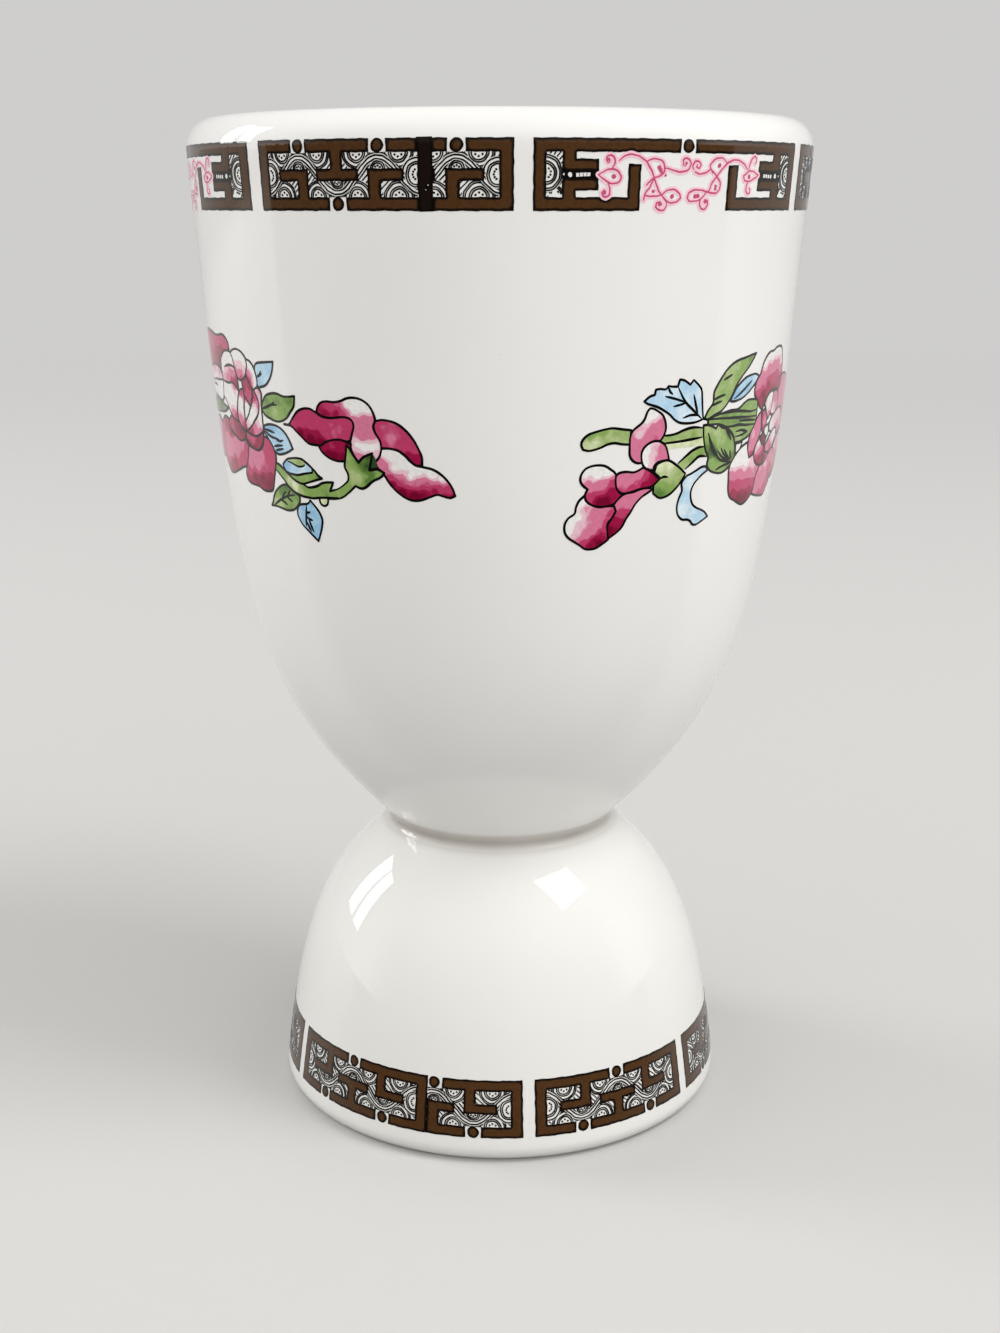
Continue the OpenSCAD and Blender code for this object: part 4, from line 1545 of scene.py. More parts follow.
# The open panel's vine: the panel's middle is about 840 squares from the paper's left edge
VINE_PAPER = Paper(100, -9.7, 5.56, stretch=0.91, bend=0.03)
VINE = (
    "240,155 288,122 345,108 400,120 450,155 490,215 522,280 545,340 566,400 600,444 630,482",
    "66,268 115,242 180,226 236,240 262,280 248,322 200,342 150,326 108,298 66,268",
    "462,170 490,150 540,140 582,158 603,200 596,248 568,276 530,292 496,320 468,350",
    "602,212 645,224 692,238 745,240 786,222 799,180 786,148 760,134 738,150 740,186 758,198",
    "530,300 496,362 462,420 455,470",
    "466,432 530,440 590,428 604,410",
    "590,430 622,396 680,386 724,414 736,455 702,487 645,484 604,444",
    "630,482 632,520 610,550 576,552 550,526 556,494 584,488 596,506 580,520",
    "180,226 200,200 208,165 195,130 168,114 143,126 134,155 146,178 162,172",
    "158,340 170,380 165,425 140,446 112,434 102,408 120,388 136,402",
    "1245,214 1218,176 1180,150 1130,142 1078,166 1045,215 1010,262 985,300 965,345 950,392 925,410",
    "1072,170 1052,140 1012,127 970,145 946,188 955,222 985,255 1012,292 1034,335 1030,385 998,414 950,408 "
    "895,388 840,390 800,412 788,448 800,476 850,480 892,460 922,412",
    "950,222 915,248 870,256 832,242",
    "820,225 812,190 828,157 860,157 876,186 862,212 842,203 847,183",
    "892,460 884,505 898,540 928,540 948,508 944,474 924,466 918,484",
    "1342,262 1300,236 1252,232 1216,270 1226,306 1268,312 1308,290 1342,262",
    "1256,220 1262,178 1276,128 1296,106 1312,120 1314,142 1304,168",
    "1260,312 1248,352 1246,392 1260,416 1278,406 1282,380 1270,366",
)
# Its seeds, with the radius of each group
SEEDS = (
    ("200,285 563,208 572,228 670,440 1018,188 1264,276 848,442 868,436", 0.2),
    ("580,248 524,402 155,152 125,412 578,508 762,176 1001,354 998,378 966,238 930,484", 0.15),
    ("612,270", 0.12),
)


@dataclass
class FretBorder:
    """A border of key fret round a cup, as one or two strips."""

    transfer: Transfer
    z: float
    height: float
    closed_sweep: float
    flipped: bool = False
    open_sweep: float = 56.2
    gap: float = 3.0
    overlap: float = 1.2
    spacing: float = 0.34
    spare: float = 1.0
    cut_spare: float = 0.1

    def width(self, sweep: float) -> float:
        """Returns the length round the cup that a sweep takes up."""
        return math.radians(sweep) * self.transfer.radius

    def films(self, kind: Panel, cut: tuple[float, float] | None = None,
              overlap: float = 0.0, butted: bool = False) -> dict[Enamel, Film]:
        """Draws one panel.

        Args:
            kind: Which panel.
            cut: The part of its sweep that is laid on, in degrees from its start, or None for all.
            overlap: Width at its right end over which another strip lies.
            butted: Whether another strip ends against its middle post.

        Returns:
            The panel's films, with its middle at x = 0.
        """
        sweep = self.closed_sweep if kind is Panel.CLOSED else self.open_sweep
        width = self.width(sweep)
        window = None
        if cut:
            start, end = (self.width(turn) - width / 2 for turn in cut)
            window = box(start, self.z - self.spare, end + self.cut_spare,
                         self.z + self.height + self.spare, 1.0)
        sheet = Sheet(self.spacing, window)
        panel = FretPanel(kind, width, self.height, flipped=self.flipped)
        panel.draw(sheet, self.z + (self.height if self.flipped else 0), overlap, butted)
        return sheet.films()


@dataclass
class RimBorder(FretBorder):
    """The rim border: two strips that meet at the front seam and, with a cut panel, at the back."""

    seam: float = -10.7
    cut_sweep: float = 12.9

    def build(self, workshop: Workshop) -> None:
        """Makes both strips."""
        closed, opened, gap = self.closed_sweep, self.open_sweep, self.gap
        pitch = closed + opened + 2 * gap
        start = self.seam + self.cut_sweep + gap
        left = 360 + self.seam - (2 * closed + opened + 2 * gap)
        back_cut = left - gap - (start + 2 * pitch)
        whole_open, whole_closed = self.films(Panel.OPEN), self.films(Panel.CLOSED)
        right: Meshes = {}
        lay = self.transfer.lay
        lay(workshop, self.films(Panel.CLOSED, (closed - self.cut_sweep, closed)),
            (self.seam + self.cut_sweep - closed / 2, 0, 1), right)
        lay(workshop, whole_open, (start + opened / 2, pitch, 2), right)
        lay(workshop, whole_closed, (start + opened + gap + closed / 2, pitch, 2), right)
        lay(workshop, self.films(Panel.OPEN, (0, back_cut)),
            (start + 2 * pitch + opened / 2, 0, 1), right)
        self.transfer.place(workshop, "rim_right", right, "rim_border_right")
        other: Meshes = {}
        lay(workshop, whole_closed, (left + closed / 2, 0, 1), other)
        lay(workshop, whole_open, (left + closed + gap + opened / 2, 0, 1), other)
        lay(workshop, self.films(Panel.CLOSED, overlap=self.overlap),
            (left + pitch + closed / 2, 0, 1), other)
        self.transfer.place(workshop, "rim_left", other, "rim_border_left")


@dataclass
class FootBorder(FretBorder):
    """The foot border: closed panels on their heads, with one cut panel at the seam."""

    seam: float = -18.5
    cut_sweep: float = 24.2
    panels: int = 7

    def build(self, workshop: Workshop) -> None:
        """Makes the strip."""
        sweep, gap = self.closed_sweep, self.gap
        first = self.seam + self.cut_sweep + gap
        strip: Meshes = {}
        lay = self.transfer.lay
        lay(workshop, self.films(Panel.CLOSED, (sweep - self.cut_sweep, sweep), butted=True),
            (self.seam + self.cut_sweep - sweep / 2, 0, 1), strip)
        lay(workshop, self.films(Panel.CLOSED), (first + sweep / 2, sweep + gap, self.panels), strip)
        self.transfer.place(workshop, "foot", strip, "foot_border")


# Flower sprays

@dataclass(frozen=True)
class Shape:
    """A painted shape of a spray, with its printed outline.

    Attributes:
        enamel: What it is painted in.
        outline: Places on the paper that the outline runs through.
        tones: Places on the paper with the tone there, from 0 for bare glaze to 1 for the deepest.
        edged: Whether the outline is printed.
        veins: Lines printed on the shape.
    """

    enamel: Enamel
    outline: str
    tones: str = ""
    edged: bool = True
    veins: tuple[str, ...] = ()


@dataclass(frozen=True)
class Motif:
    """A group of shapes drawn on one paper, from the one furthest back to the one in front."""

    paper: Paper
    shapes: tuple[Shape, ...]
    vein_taper: float = 0.55

    def draw(self, sheet: Sheet, line: float, vein: float) -> None:
        """Draws the group.

        Args:
            sheet: The sheet.
            line: The width of the outlines.
            vein: The width of the veins.
        """
        for shape in self.shapes:
            loop = smooth(self.paper.points(shape.outline), closed=True)
            tones = self.paper.points(shape.tones) if shape.tones else None
            sheet.area(shape.enamel, loop, tones)
            if shape.edged:
                sheet.stroke(Enamel.BLACK, np.vstack([loop, loop[:1]]), line)
            for text in shape.veins:
                sheet.stroke(Enamel.BLACK, smooth(self.paper.points(text)), vein, self.vein_taper)


def petal(outline: str, tones: str, *veins: str) -> Shape:
    """Returns a petal."""
    return Shape(Enamel.PETAL, outline, tones, veins=veins)


def leaf(outline: str, tones: str, *veins: str) -> Shape:
    """Returns a green leaf or stem."""
    return Shape(Enamel.GREEN, outline, tones, veins=veins)


def wash(enamel: Enamel, outline: str, tones: str, *veins: str) -> Shape:
    """Returns a shape without an outline of its own, with the lines drawn on it."""
    return Shape(enamel, outline, tones, False, veins)


def blue(outline: str, tones: str, *veins: str) -> Shape:
    """Returns a pale blue leaf."""
    return Shape(Enamel.BLUE, outline, tones, veins=veins)


# The half-open bud at the right end of the left spray
BUD_LEFT = Motif(Paper(80, -21.65, 74.75), (
    petal("888,385 950,380 1010,392 1060,425 1100,465 1140,492 1190,500 1260,515 1320,550 1370,600 1400,650 "
          "1415,695 1380,710 1330,700 1290,690 1230,710 1170,732 1110,738 1050,720 990,680 940,630 900,570 "
          "850,520 835,480 870,440",
          "950,430,0 1050,480,0 1150,525,0 1250,555,0 1320,590,.05 900,420,.05 980,520,.05 1100,570,.06 "
          "900,500,.5 880,465,.45 950,580,.62 1040,610,.6 1130,620,.55 1220,610,.55 1310,620,.6 "
          "1370,650,.66 950,630,.95 1030,680,.98 1120,705,.98 1190,690,.92 1270,670,.82 1350,690,.75 "
          "1395,700,.8"),
    petal("850,195 900,185 960,190 1020,210 1080,255 1130,315 1165,380 1185,430 1185,490 1140,490 1100,460 "
          "1060,420 1010,390 950,380 890,380 880,330 850,280 838,235",
          "900,230,.56 1000,250,.58 960,320,.52 1080,310,.6 1130,370,.62 1090,420,.8 1150,450,.84 "
          "900,350,.62 1030,360,.62 870,220,.7 1165,480,.9"),
    petal("372,155 385,120 420,88 470,78 530,80 590,68 640,48 700,42 760,55 810,90 840,140 852,190 835,235 "
          "850,280 880,330 888,380 870,440 835,480 760,470 700,490 660,430 645,380 648,340 665,285 680,240 "
          "672,205 640,182 590,180 530,188 470,192 410,182",
          "400,150,.78 450,110,.72 430,170,.9 550,150,.85 500,100,.66 560,95,.55 610,150,.6 640,90,0 "
          "700,70,0 760,100,0 800,125,.02 700,135,.02 700,190,.42 780,180,.45 830,180,.4 720,250,.46 "
          "800,260,.5 740,310,.44 830,300,.4 760,385,0 820,385,.05 700,375,.04 850,365,.1 690,440,.4 "
          "730,455,.45 790,430,.2 840,420,.25 690,400,.25"),
    petal("365,395 390,375 430,355 500,342 560,340 650,365 640,410 600,480 540,492 480,485 430,465 385,430",
          "430,400,.85 480,390,.75 560,385,.8 500,450,.98 450,440,.98 580,460,.95 610,400,.9"),
    petal("35,268 85,265 130,220 190,165 250,142 310,140 360,160 410,185 470,192 530,188 590,180 640,185 "
          "672,205 680,240 665,285 648,340 620,350 560,340 500,345 430,365 390,390 330,392 270,385 215,350 "
          "160,310 110,275",
          "200,200,.6 300,190,.62 400,230,.6 500,230,.6 620,230,.64 330,250,.62 150,260,.72 220,260,.7 "
          "200,310,.95 300,350,.98 400,360,.96 350,310,.85 430,310,.7 520,300,.6 600,320,.72 560,270,.58 "
          "50,268,.9"),
    wash(Enamel.GREEN, "815,420 838,455 850,535 785,545 795,470", "820,490,1"),
    wash(Enamel.GREEN,
         "610,375 630,395 660,440 700,490 745,450 815,420 800,480 785,540 850,530 900,555 870,585 800,620 "
         "750,660 710,675 660,660 600,710 540,750 470,768 380,775 300,777 300,730 450,715 510,690 560,660 "
         "600,625 600,580 580,530 590,480 600,430",
         "620,450,.4 640,550,.3 680,520,.5 715,500,.72 760,470,.8 790,450,.84 740,540,.76 770,520,.8 "
         "740,590,.42 700,600,.26 680,640,.3 760,610,.7 800,560,.68 850,560,.55 560,700,.5 480,735,.34 "
         "350,750,.4",
         "450,715 510,690 560,660 600,625 605,580 582,530 590,480 600,430 610,375 630,395 660,440 700,490 "
         "745,450 815,420 800,480 785,540 850,530 900,555 870,585 800,620 750,660 710,675 660,660 600,710 "
         "540,750 470,768 380,775"),
))

# The leaves between the left spray's bud and its peony
LEAVES_LEFT = Motif(Paper(160, -25.15, 69.0), (
    blue("1010,680 1080,740 1140,800 1190,870 1215,950 1190,1060 1150,1150 1110,1230 1085,1270 1020,1220 "
         "950,1170 880,1120 810,1070 750,1000 715,930 715,860 740,800 790,765 860,750 930,740 980,720",
         "800,900,.6 900,820,.62 1100,900,.7 1000,1000,.6 1080,1150,.72 1150,960,.6",
         "925,760 905,860 880,1000 870,1070", "905,930 960,960 1020,970", "940,960 970,1040 1015,1140",
         "898,860 940,868 985,850", "885,1000 925,1070 965,1140"),
    leaf("85,850 130,800 170,720 230,640 320,570 420,520 520,500 600,540 700,590 800,640 790,720 740,780 "
         "680,830 600,865 480,880 350,865 230,850 150,850",
         "150,820,.25 250,780,.15 330,800,.25 250,680,.5 400,600,.7 500,560,.75 450,700,.55 600,700,.6 "
         "500,830,.5 650,790,.5 740,700,.6", "170,835 290,765 400,715 500,675 600,648 690,636",
         "380,722 440,650 500,600", "520,668 570,610 600,575", "350,740 430,765 500,800",
         "500,678 570,712 630,740"),
    leaf("1210,620 1210,680 1245,725 1300,732 1350,705 1368,650 1360,610", "1260,650,.05 1320,690,.1"),
    wash(Enamel.GREEN,
         "240,150 320,195 400,215 470,250 560,330 700,360 900,455 1000,490 1100,480 1200,450 1290,405 "
         "1400,385 1490,380 1460,440 1420,510 1560,470 1560,592 1520,595 1200,625 1100,640 1000,640 900,635 "
         "780,615 700,590 620,545 550,490 490,430 420,375 350,320 285,275 215,225",
         "300,235,.55 420,290,.5 520,380,.35 620,420,.12 700,480,.02 760,530,.1 850,560,.3 1000,570,.5 "
         "1150,560,.55 1300,480,.5 1420,440,.45 1500,550,.5 640,520,.3 900,500,.4",
         "320,195 400,215 470,250 520,290",
         "900,455 1000,490 1100,480 1200,450 1290,405 1400,385 1490,380 1460,440 1420,510 1560,470",
         "285,275 350,320 420,375 490,430 550,490 620,545 700,590 780,615 900,635 1000,640 1100,640 "
         "1200,625 1560,592"),
    leaf("505,205 560,155 630,115 720,100 820,90 920,95 1000,130 1080,180 1160,240 1220,300 1290,340 "
         "1180,370 1100,395 1000,425 900,450 800,435 700,395 620,345 540,290",
         "700,360,.5 850,380,.45 1000,380,.4 1150,330,.5 1250,335,.7"),
    blue("505,205 560,155 630,115 720,100 820,90 920,95 1000,130 1080,180 1120,210 1115,270 1000,290 "
         "900,312 800,332 700,328 620,320 550,290",
         "600,220,.7 750,260,.35 900,250,.2 1050,230,.3 700,150,.6",
         "620,150 720,165 800,190 860,200 930,190 980,170"),
    wash(Enamel.GREEN, "640,135 720,112 820,102 910,108 975,135 985,155 930,180 860,190 800,180 720,155",
         "750,140,.2 900,150,.3"),
))

# The open peony at the left end of the left spray
PEONY_LEFT = Motif(Paper(80, -37.15, 79.5), (
    blue("985,300 990,255 1017,235 1080,225 1150,218 1215,212 1200,270 1165,330 1110,380 1050,400 1005,405 "
         "995,360", "1050,260,.45 1150,250,.5 1100,330,.35 1020,380,.6", "1010,325 1040,318 1070,305",
         "1062,288 1048,308 1012,334"),
    leaf("1017,560 1050,500 1090,460 1150,440 1220,435 1290,450 1350,448 1410,440 1395,510 1350,560 "
         "1310,600 1250,628 1190,635 1120,620 1060,600 1030,570",
         "1100,490,.6 1200,460,.58 1330,480,.62 1180,570,.35 1250,590,.4 1320,540,.55 1080,570,.55",
         "1020,560 1090,540 1150,520 1215,515", "1150,520 1185,500"),
    blue("1030,680 1090,665 1160,665 1220,680 1270,710 1310,760 1340,820 1290,845 1230,865 1170,872 "
         "1130,850 1090,800 1060,760 1030,730",
         "1100,680,.7 1200,710,.5 1280,790,.4 1180,850,.6 1120,790,.5", "1030,705 1090,710 1150,720",
         "1040,720 1100,750 1200,765", "1130,820 1180,810 1235,805", "1150,846 1190,838 1240,828",
         "1165,770 1210,776 1245,766"),
    petal("60,700 -60,715 -150,770 -180,850 -140,940 -60,1000 30,1010 120,960 180,740",
          "-100,850,.4 0,820,.45 -60,930,.7 60,960,.75"),
    petal("440,780 530,805 620,828 720,810 760,850 740,920 720,990 690,1010 600,1030 520,1055 420,1085 "
          "330,1105 240,1100 170,1060 100,1010 60,960 100,850 180,740 300,680 420,690",
          "200,760,.72 320,740,.8 420,770,.88 300,850,.42 420,880,.4 550,870,.42 350,930,.36 250,960,.42 "
          "640,870,.5 700,890,.66 650,960,.66 520,950,.5 350,1040,.9 450,1020,.86 550,1000,.76 240,1050,.8 "
          "150,900,.6 110,960,.66 180,1000,.7"),
    petal("760,850 840,865 920,870 980,830 1010,760 1060,770 1110,820 1135,880 1125,950 1100,1010 1070,1090 "
          "1040,1150 980,1165 920,1165 850,1145 780,1140 710,1135 660,1115 650,1070 680,1010 720,950 "
          "745,890",
          "790,910,.5 880,930,.42 1000,870,.64 1080,840,.68 1095,930,.66 1000,990,.56 880,1000,.5 "
          "760,1000,.5 720,1030,.62 700,1100,.85 800,1080,.92 920,1070,.95 1030,1050,.9 1010,1120,.95 "
          "880,1130,.92 950,900,.45 1050,980,.7"),
    petal("-150,190 -130,110 -60,60 40,45 100,50 200,58 300,72 400,70 480,62 540,75 590,110 605,160 560,178 "
          "500,180 440,205 400,240 380,300 330,320 230,300 130,300 0,325 -90,300 -140,250",
          "0,150,.6 200,140,.66 200,250,.9 100,230,.8 350,110,.62 450,120,.75 350,250,.95 540,110,.66 "
          "-100,180,.5 -60,260,.7 300,180,.8 120,110,.6 420,180,.88"),
    petal("-160,300 -90,302 0,325 130,302 230,302 330,318 400,400 385,430 250,410 120,415 -20,430 -120,400",
          "0,360,.3 150,335,.34 300,350,.36 350,390,.2 200,390,.05 50,400,.02 -100,350,.2"),
    petal("-150,400 0,430 120,415 250,410 395,400 350,520 300,560 150,545 0,530 -130,490",
          "0,480,.02 150,480,0 300,480,0 330,440,0", "0,462 90,452 190,458"),
    leaf("-188,620 -100,575 0,555 200,560 330,590 440,605 330,640 200,655 0,665 -110,660",
         "-100,620,.8 50,600,.85 200,600,.8 350,610,.6"),
    petal("395,400 350,520 420,560 470,620 540,670 620,690 630,600 660,530 700,460 640,420 590,405 520,412 "
          "450,410",
          "450,460,0 550,490,0 400,520,0 600,560,.06 480,580,.14 530,630,.42 590,660,.72 660,470,.1 "
          "640,435,.5 500,540,.02"),
    petal("395,400 385,300 400,245 440,210 500,180 560,175 620,185 650,220 665,260 690,330 700,380 700,460 "
          "640,420 590,405 520,412 450,410",
          "450,240,0 530,220,0 600,220,0 640,250,.05 420,310,.1 450,360,.32 550,330,.34 620,340,.38 "
          "600,390,.8 660,400,.9 680,440,.95 500,385,.34", "460,300 520,285 600,278 660,290 690,330"),
    petal("620,185 660,165 720,152 790,160 840,185 870,215 878,260 855,310 820,350 760,375 720,365 690,330 "
          "665,270 650,220",
          "700,200,0 780,200,0 840,230,0 720,270,.2 770,265,.25 750,320,.4 800,310,.36 830,290,.15 "
          "690,300,.45 770,360,.7"),
    petal("870,215 920,225 965,260 990,310 1000,370 985,410 940,430 900,400 860,350 855,310 878,260",
          "900,250,0 950,290,0 980,350,0 970,390,.04 900,320,.4 880,335,.6 930,365,.3 900,375,.8"),
    petal("940,430 985,410 1017,420 1035,450 1028,500 1020,560 1015,650 1010,720 960,755 880,770 800,755 "
          "755,745 800,700 900,640 960,560 975,490",
          "1000,450,.3 1010,500,.2 1000,600,.03 990,660,.02 950,690,.25 900,720,.5 840,745,.8 980,720,.4"),
    petal("790,490 870,560 905,500 920,430 940,430 985,500 985,560 960,610 900,660 850,700 760,745 755,700 "
          "765,670 820,620",
          "950,480,.66 965,540,.4 930,560,.12 890,600,.02 850,650,.03 800,700,.2 770,725,.6 920,480,.8"),
    petal("820,350 860,350 900,400 920,430 900,500 870,560 790,490 770,380",
          "840,400,.76 860,450,.7 880,400,.85 850,520,.6 800,430,.9 820,470,.7"),
    petal("700,470 660,540 635,620 640,680 700,730 750,745 760,700 755,640 760,560 790,490 770,440 740,440",
          "720,530,.02 700,580,.02 680,640,.34 690,690,.5 725,720,.8 740,600,.04 760,470,.6 730,460,.7"),
    petal("790,480 770,560 760,640 765,670 820,620 860,570 870,560",
          "800,560,0 780,620,0 830,560,.1 795,505,.6"),
    petal("420,700 480,660 540,670 620,690 640,680 700,735 740,760 720,800 660,825 600,825 530,800 470,770 "
          "440,760", "480,700,.75 560,740,.9 640,740,.95 700,770,.9 500,760,.66 600,800,.76"),
    petal("745,760 760,745 830,765 920,765 1010,725 1000,790 960,840 900,870 840,865 780,840 745,800",
          "800,790,.62 850,800,.56 900,820,.85 960,790,.8 860,850,.95 790,825,.9"),
))

# The bud at the left end of the right spray, with the leaf beside it
BUD_RIGHT = Motif(Paper(120, 5.4, 74.0), (
    leaf("200,430 215,380 270,330 360,300 450,280 540,270 640,285 750,300 745,450 650,440 570,425 490,435 "
         "430,460 350,485 280,495 220,480",
         "260,430,.1 350,400,.15 500,350,.3 600,330,.3 450,310,.5 700,370,.3 300,350,.5"),
    petal("960,85 930,120 905,190 870,235 820,270 770,310 745,370 745,480 755,570 790,620 850,650 910,650 "
          "895,540 930,480 1000,440 1070,430 1120,430 1160,370 1175,300 1160,230 1120,160 1060,120 1000,90",
          "960,120,.02 1000,150,0 940,210,.02 1050,160,.1 900,280,.32 1000,270,.4 1100,240,.46 1130,330,.5 "
          "850,350,.3 950,380,.42 1050,380,.55 820,450,.36 800,550,.4 880,600,.42 860,470,.38"),
    petal("1070,430 1000,440 930,485 895,550 905,640 940,700 1000,730 1060,740 1060,700 1100,660 1170,645 "
          "1250,640 1225,560 1190,490 1130,445",
          "960,520,0 930,600,0 970,680,.04 1020,600,.2 1050,500,.3 1150,520,.4 1200,600,.45 1080,620,.36 "
          "1030,700,.3"),
    petal("610,770 640,745 720,735 820,745 880,725 930,705 990,730 1060,770 1120,820 1180,830 1130,870 "
          "1080,900 1000,920 900,930 800,955 720,965 660,945 610,890 595,830",
          "680,800,.4 800,800,.42 900,780,.45 750,860,.5 860,860,.6 960,820,.7 1050,850,.9 950,890,.85 "
          "800,910,.7 700,900,.6 1120,840,.9"),
    petal("215,740 250,690 310,660 390,650 470,660 540,700 600,750 605,830 620,900 660,950 700,970 650,1020 "
          "600,1070 520,1090 430,1090 340,1065 280,1020 265,960 290,900 230,850 205,800",
          "350,700,.02 450,710,0 520,740,.02 400,760,.02 260,760,.1 300,820,.38 420,830,.4 340,900,.44 "
          "480,860,.5 560,830,.6 350,970,.72 420,1030,.95 520,1030,.95 600,1000,.9 560,930,.85 640,980,.8"),
    petal("600,1080 650,1020 720,970 820,955 920,930 1010,925 1070,940 1000,980 930,1020 860,1090 810,1170 "
          "760,1240 710,1330 640,1390 560,1440 545,1380 545,1290 590,1220 630,1150",
          "700,1030,.46 800,1000,.42 900,970,.45 1000,945,.5 750,1100,.5 830,1080,.45 700,1170,.66 "
          "640,1250,.85 700,1290,.9 600,1350,.95 760,1180,.75 650,1100,.5"),
    petal("260,965 200,1020 170,1090 160,1150 90,1200 55,1260 55,1340 90,1400 160,1450 240,1500 290,1535 "
          "360,1545 430,1530 500,1490 560,1450 550,1380 540,1280 590,1220 630,1150 605,1090 520,1090 "
          "430,1095 340,1065 280,1020",
          "90,1260,0 110,1330,.02 190,1180,.05 240,1030,.02 210,1100,.1 280,1100,.36 400,1150,.4 "
          "520,1130,.5 350,1250,.38 250,1300,.32 450,1280,.44 200,1380,.3 550,1170,.6 380,1360,.44 "
          "300,1400,.4 480,1380,.8 400,1440,.92 460,1470,.95 340,1500,.92 300,1460,.7 520,1300,.7"),
))

# That bud's calyx
CALYX_RIGHT = Motif(Paper(40, 3.9, 81.0), (
    leaf("430,505 470,495 520,520 560,550 530,590 490,620 450,628 420,610 418,580 445,557 418,535 425,510",
         "450,520,.02 480,515,.04 455,545,.2 500,540,.26 530,550,.3 465,585,.55 445,605,.7 495,600,.5 "
         "480,570,.34", "445,557 462,553 478,556"),
))

# The stem, the long leaves and the pale blue leaves in the middle of the right spray
LEAVES_RIGHT = Motif(Paper(120, 16.4, 78.0), (
    wash(Enamel.GREEN, "-190,950 0,936 150,932 377,918 470,910 470,1010 250,1004 -190,1010",
         "200,970,.06 380,960,.1"),
    wash(Enamel.GREEN,
         "-190,860 -80,860 0,850 100,820 230,800 377,815 450,820 450,910 377,915 150,930 0,938 -190,945",
         "-100,900,.4 50,890,.3 200,860,.36 350,860,.3", "-190,860 -80,860 0,850 100,820 230,800 377,815",
         "-190,945 0,938 150,930 377,915"),
    wash(Enamel.GREEN,
         "60,1170 150,1110 250,1050 350,1020 430,1020 500,1130 480,1130 360,1120 260,1180 170,1240 90,1230",
         "130,1180,.3 250,1110,.4 400,1070,.5", "60,1170 150,1110 250,1050 350,1020 430,1020",
         "170,1240 260,1180 360,1120 480,1130"),
    blue("480,1240 420,1240 340,1270 260,1300 200,1320 140,1390 155,1470 120,1560 105,1640 130,1730 "
         "200,1790 280,1800 330,1820 370,1860 430,1870 490,1850 560,1820 610,1800 560,1750 480,1710 "
         "400,1680 340,1640 300,1570 290,1490 320,1420 370,1370 440,1320 520,1280",
         "250,1380,.2 200,1550,.35 180,1680,.2 350,1750,.3 500,1790,.4 400,1300,.3"),
    leaf("450,730 560,700 660,685 800,665 960,660 1060,610 1150,578 1260,580 1380,590 1380,860 1320,920 "
         "1250,975 1100,1015 960,1025 930,960 800,860 640,800 450,790",
         "600,720,.5 800,700,.6 1000,690,.5 1200,640,.4 1300,650,.5 700,780,.6 1000,800,.6 1250,790,.5 "
         "1100,880,.4 1000,980,.35 1250,900,.5", "450,735 600,735 800,745 1000,755 1200,765 1380,770",
         "660,690 900,680 1100,695 1250,710 1380,700", "700,830 850,840 1000,835 1150,850 1380,860",
         "960,905 1080,900 1190,925 1100,950 960,960", "1000,790 1200,800 1380,815"),
    petal("985,1040 1000,1150 1060,1130 1110,1060 1120,1030", "1040,1080,0"),
    blue("790,560 830,500 880,430 950,380 1050,330 1150,310 1255,305 1330,330 1270,400 1200,450 1120,500 "
         "1020,545 920,565 840,570", "900,500,.7 1000,430,.55 1150,370,.5 1250,340,.3 1100,470,.6",
         "850,545 950,500 1060,440 1180,370"),
    leaf("385,720 430,640 500,560 500,450 540,380 610,290 680,220 780,160 880,130 980,115 1100,95 1210,80 "
         "1150,150 1080,220 1000,280 930,340 870,400 830,470 780,540 710,610 640,660 540,690 440,730",
         "560,450,.3 650,350,.35 750,250,.3 850,200,.28 1000,160,.5 1120,120,.6 900,280,.5 780,400,.42 "
         "700,500,.4 600,600,.36 480,660,.4 760,330,.3", "640,330 700,305 780,280",
         "500,530 600,500 690,485", "480,590 550,570 640,550"),
    leaf("385,790 450,790 520,810 590,840 620,800 700,840 790,860 860,900 920,960 960,1040 990,1150 "
         "1000,1200 920,1270 850,1310 760,1335 660,1325 560,1290 500,1220 510,1150 450,1060 410,950 390,860",
         "450,850,.3 600,900,.25 750,950,.35 880,1050,.5 700,1100,.4 850,1180,.6 600,1200,.45 750,1280,.5 "
         "500,950,.55 560,1060,.9 620,1110,.92 900,1200,.8 820,900,.8 660,1000,.3",
         "470,880 540,1000 600,1080 700,1180 850,1220 920,1230", "490,940 550,1050 610,1125",
         "560,1060 640,1130", "765,870 810,890 870,915", "780,890 830,925 880,990",
         "660,1087 730,1150 860,1216", "710,1060 765,1125 875,1208", "770,1080 825,1140 895,1208",
         "885,1100 910,1200", "660,1294 740,1268 930,1233"),
))

# The serrated leaf over them
SERRATED_RIGHT = Motif(Paper(40, 3.9, 81.0), (
    blue("355,283 375,268 395,262 398,245 415,243 440,245 450,235 470,238 490,238 497,215 515,218 545,235 "
         "560,220 580,235 600,255 608,290 615,330 622,360 590,368 550,370 510,365 485,352 465,335 440,320 "
         "410,305 385,297 365,290",
         "385,280,.45 430,260,.3 480,250,.25 520,230,.5 560,260,.4 590,260,.2 600,310,.3 530,330,.2 "
         "560,360,.15 460,290,.5", "491,240 505,262 530,295 575,330 615,360", "440,270 480,280 530,295",
         "478,307 505,303 534,297", "565,270 580,310 592,340", "524,350 560,342 597,345",
         "450,240 458,255 470,264"),
))

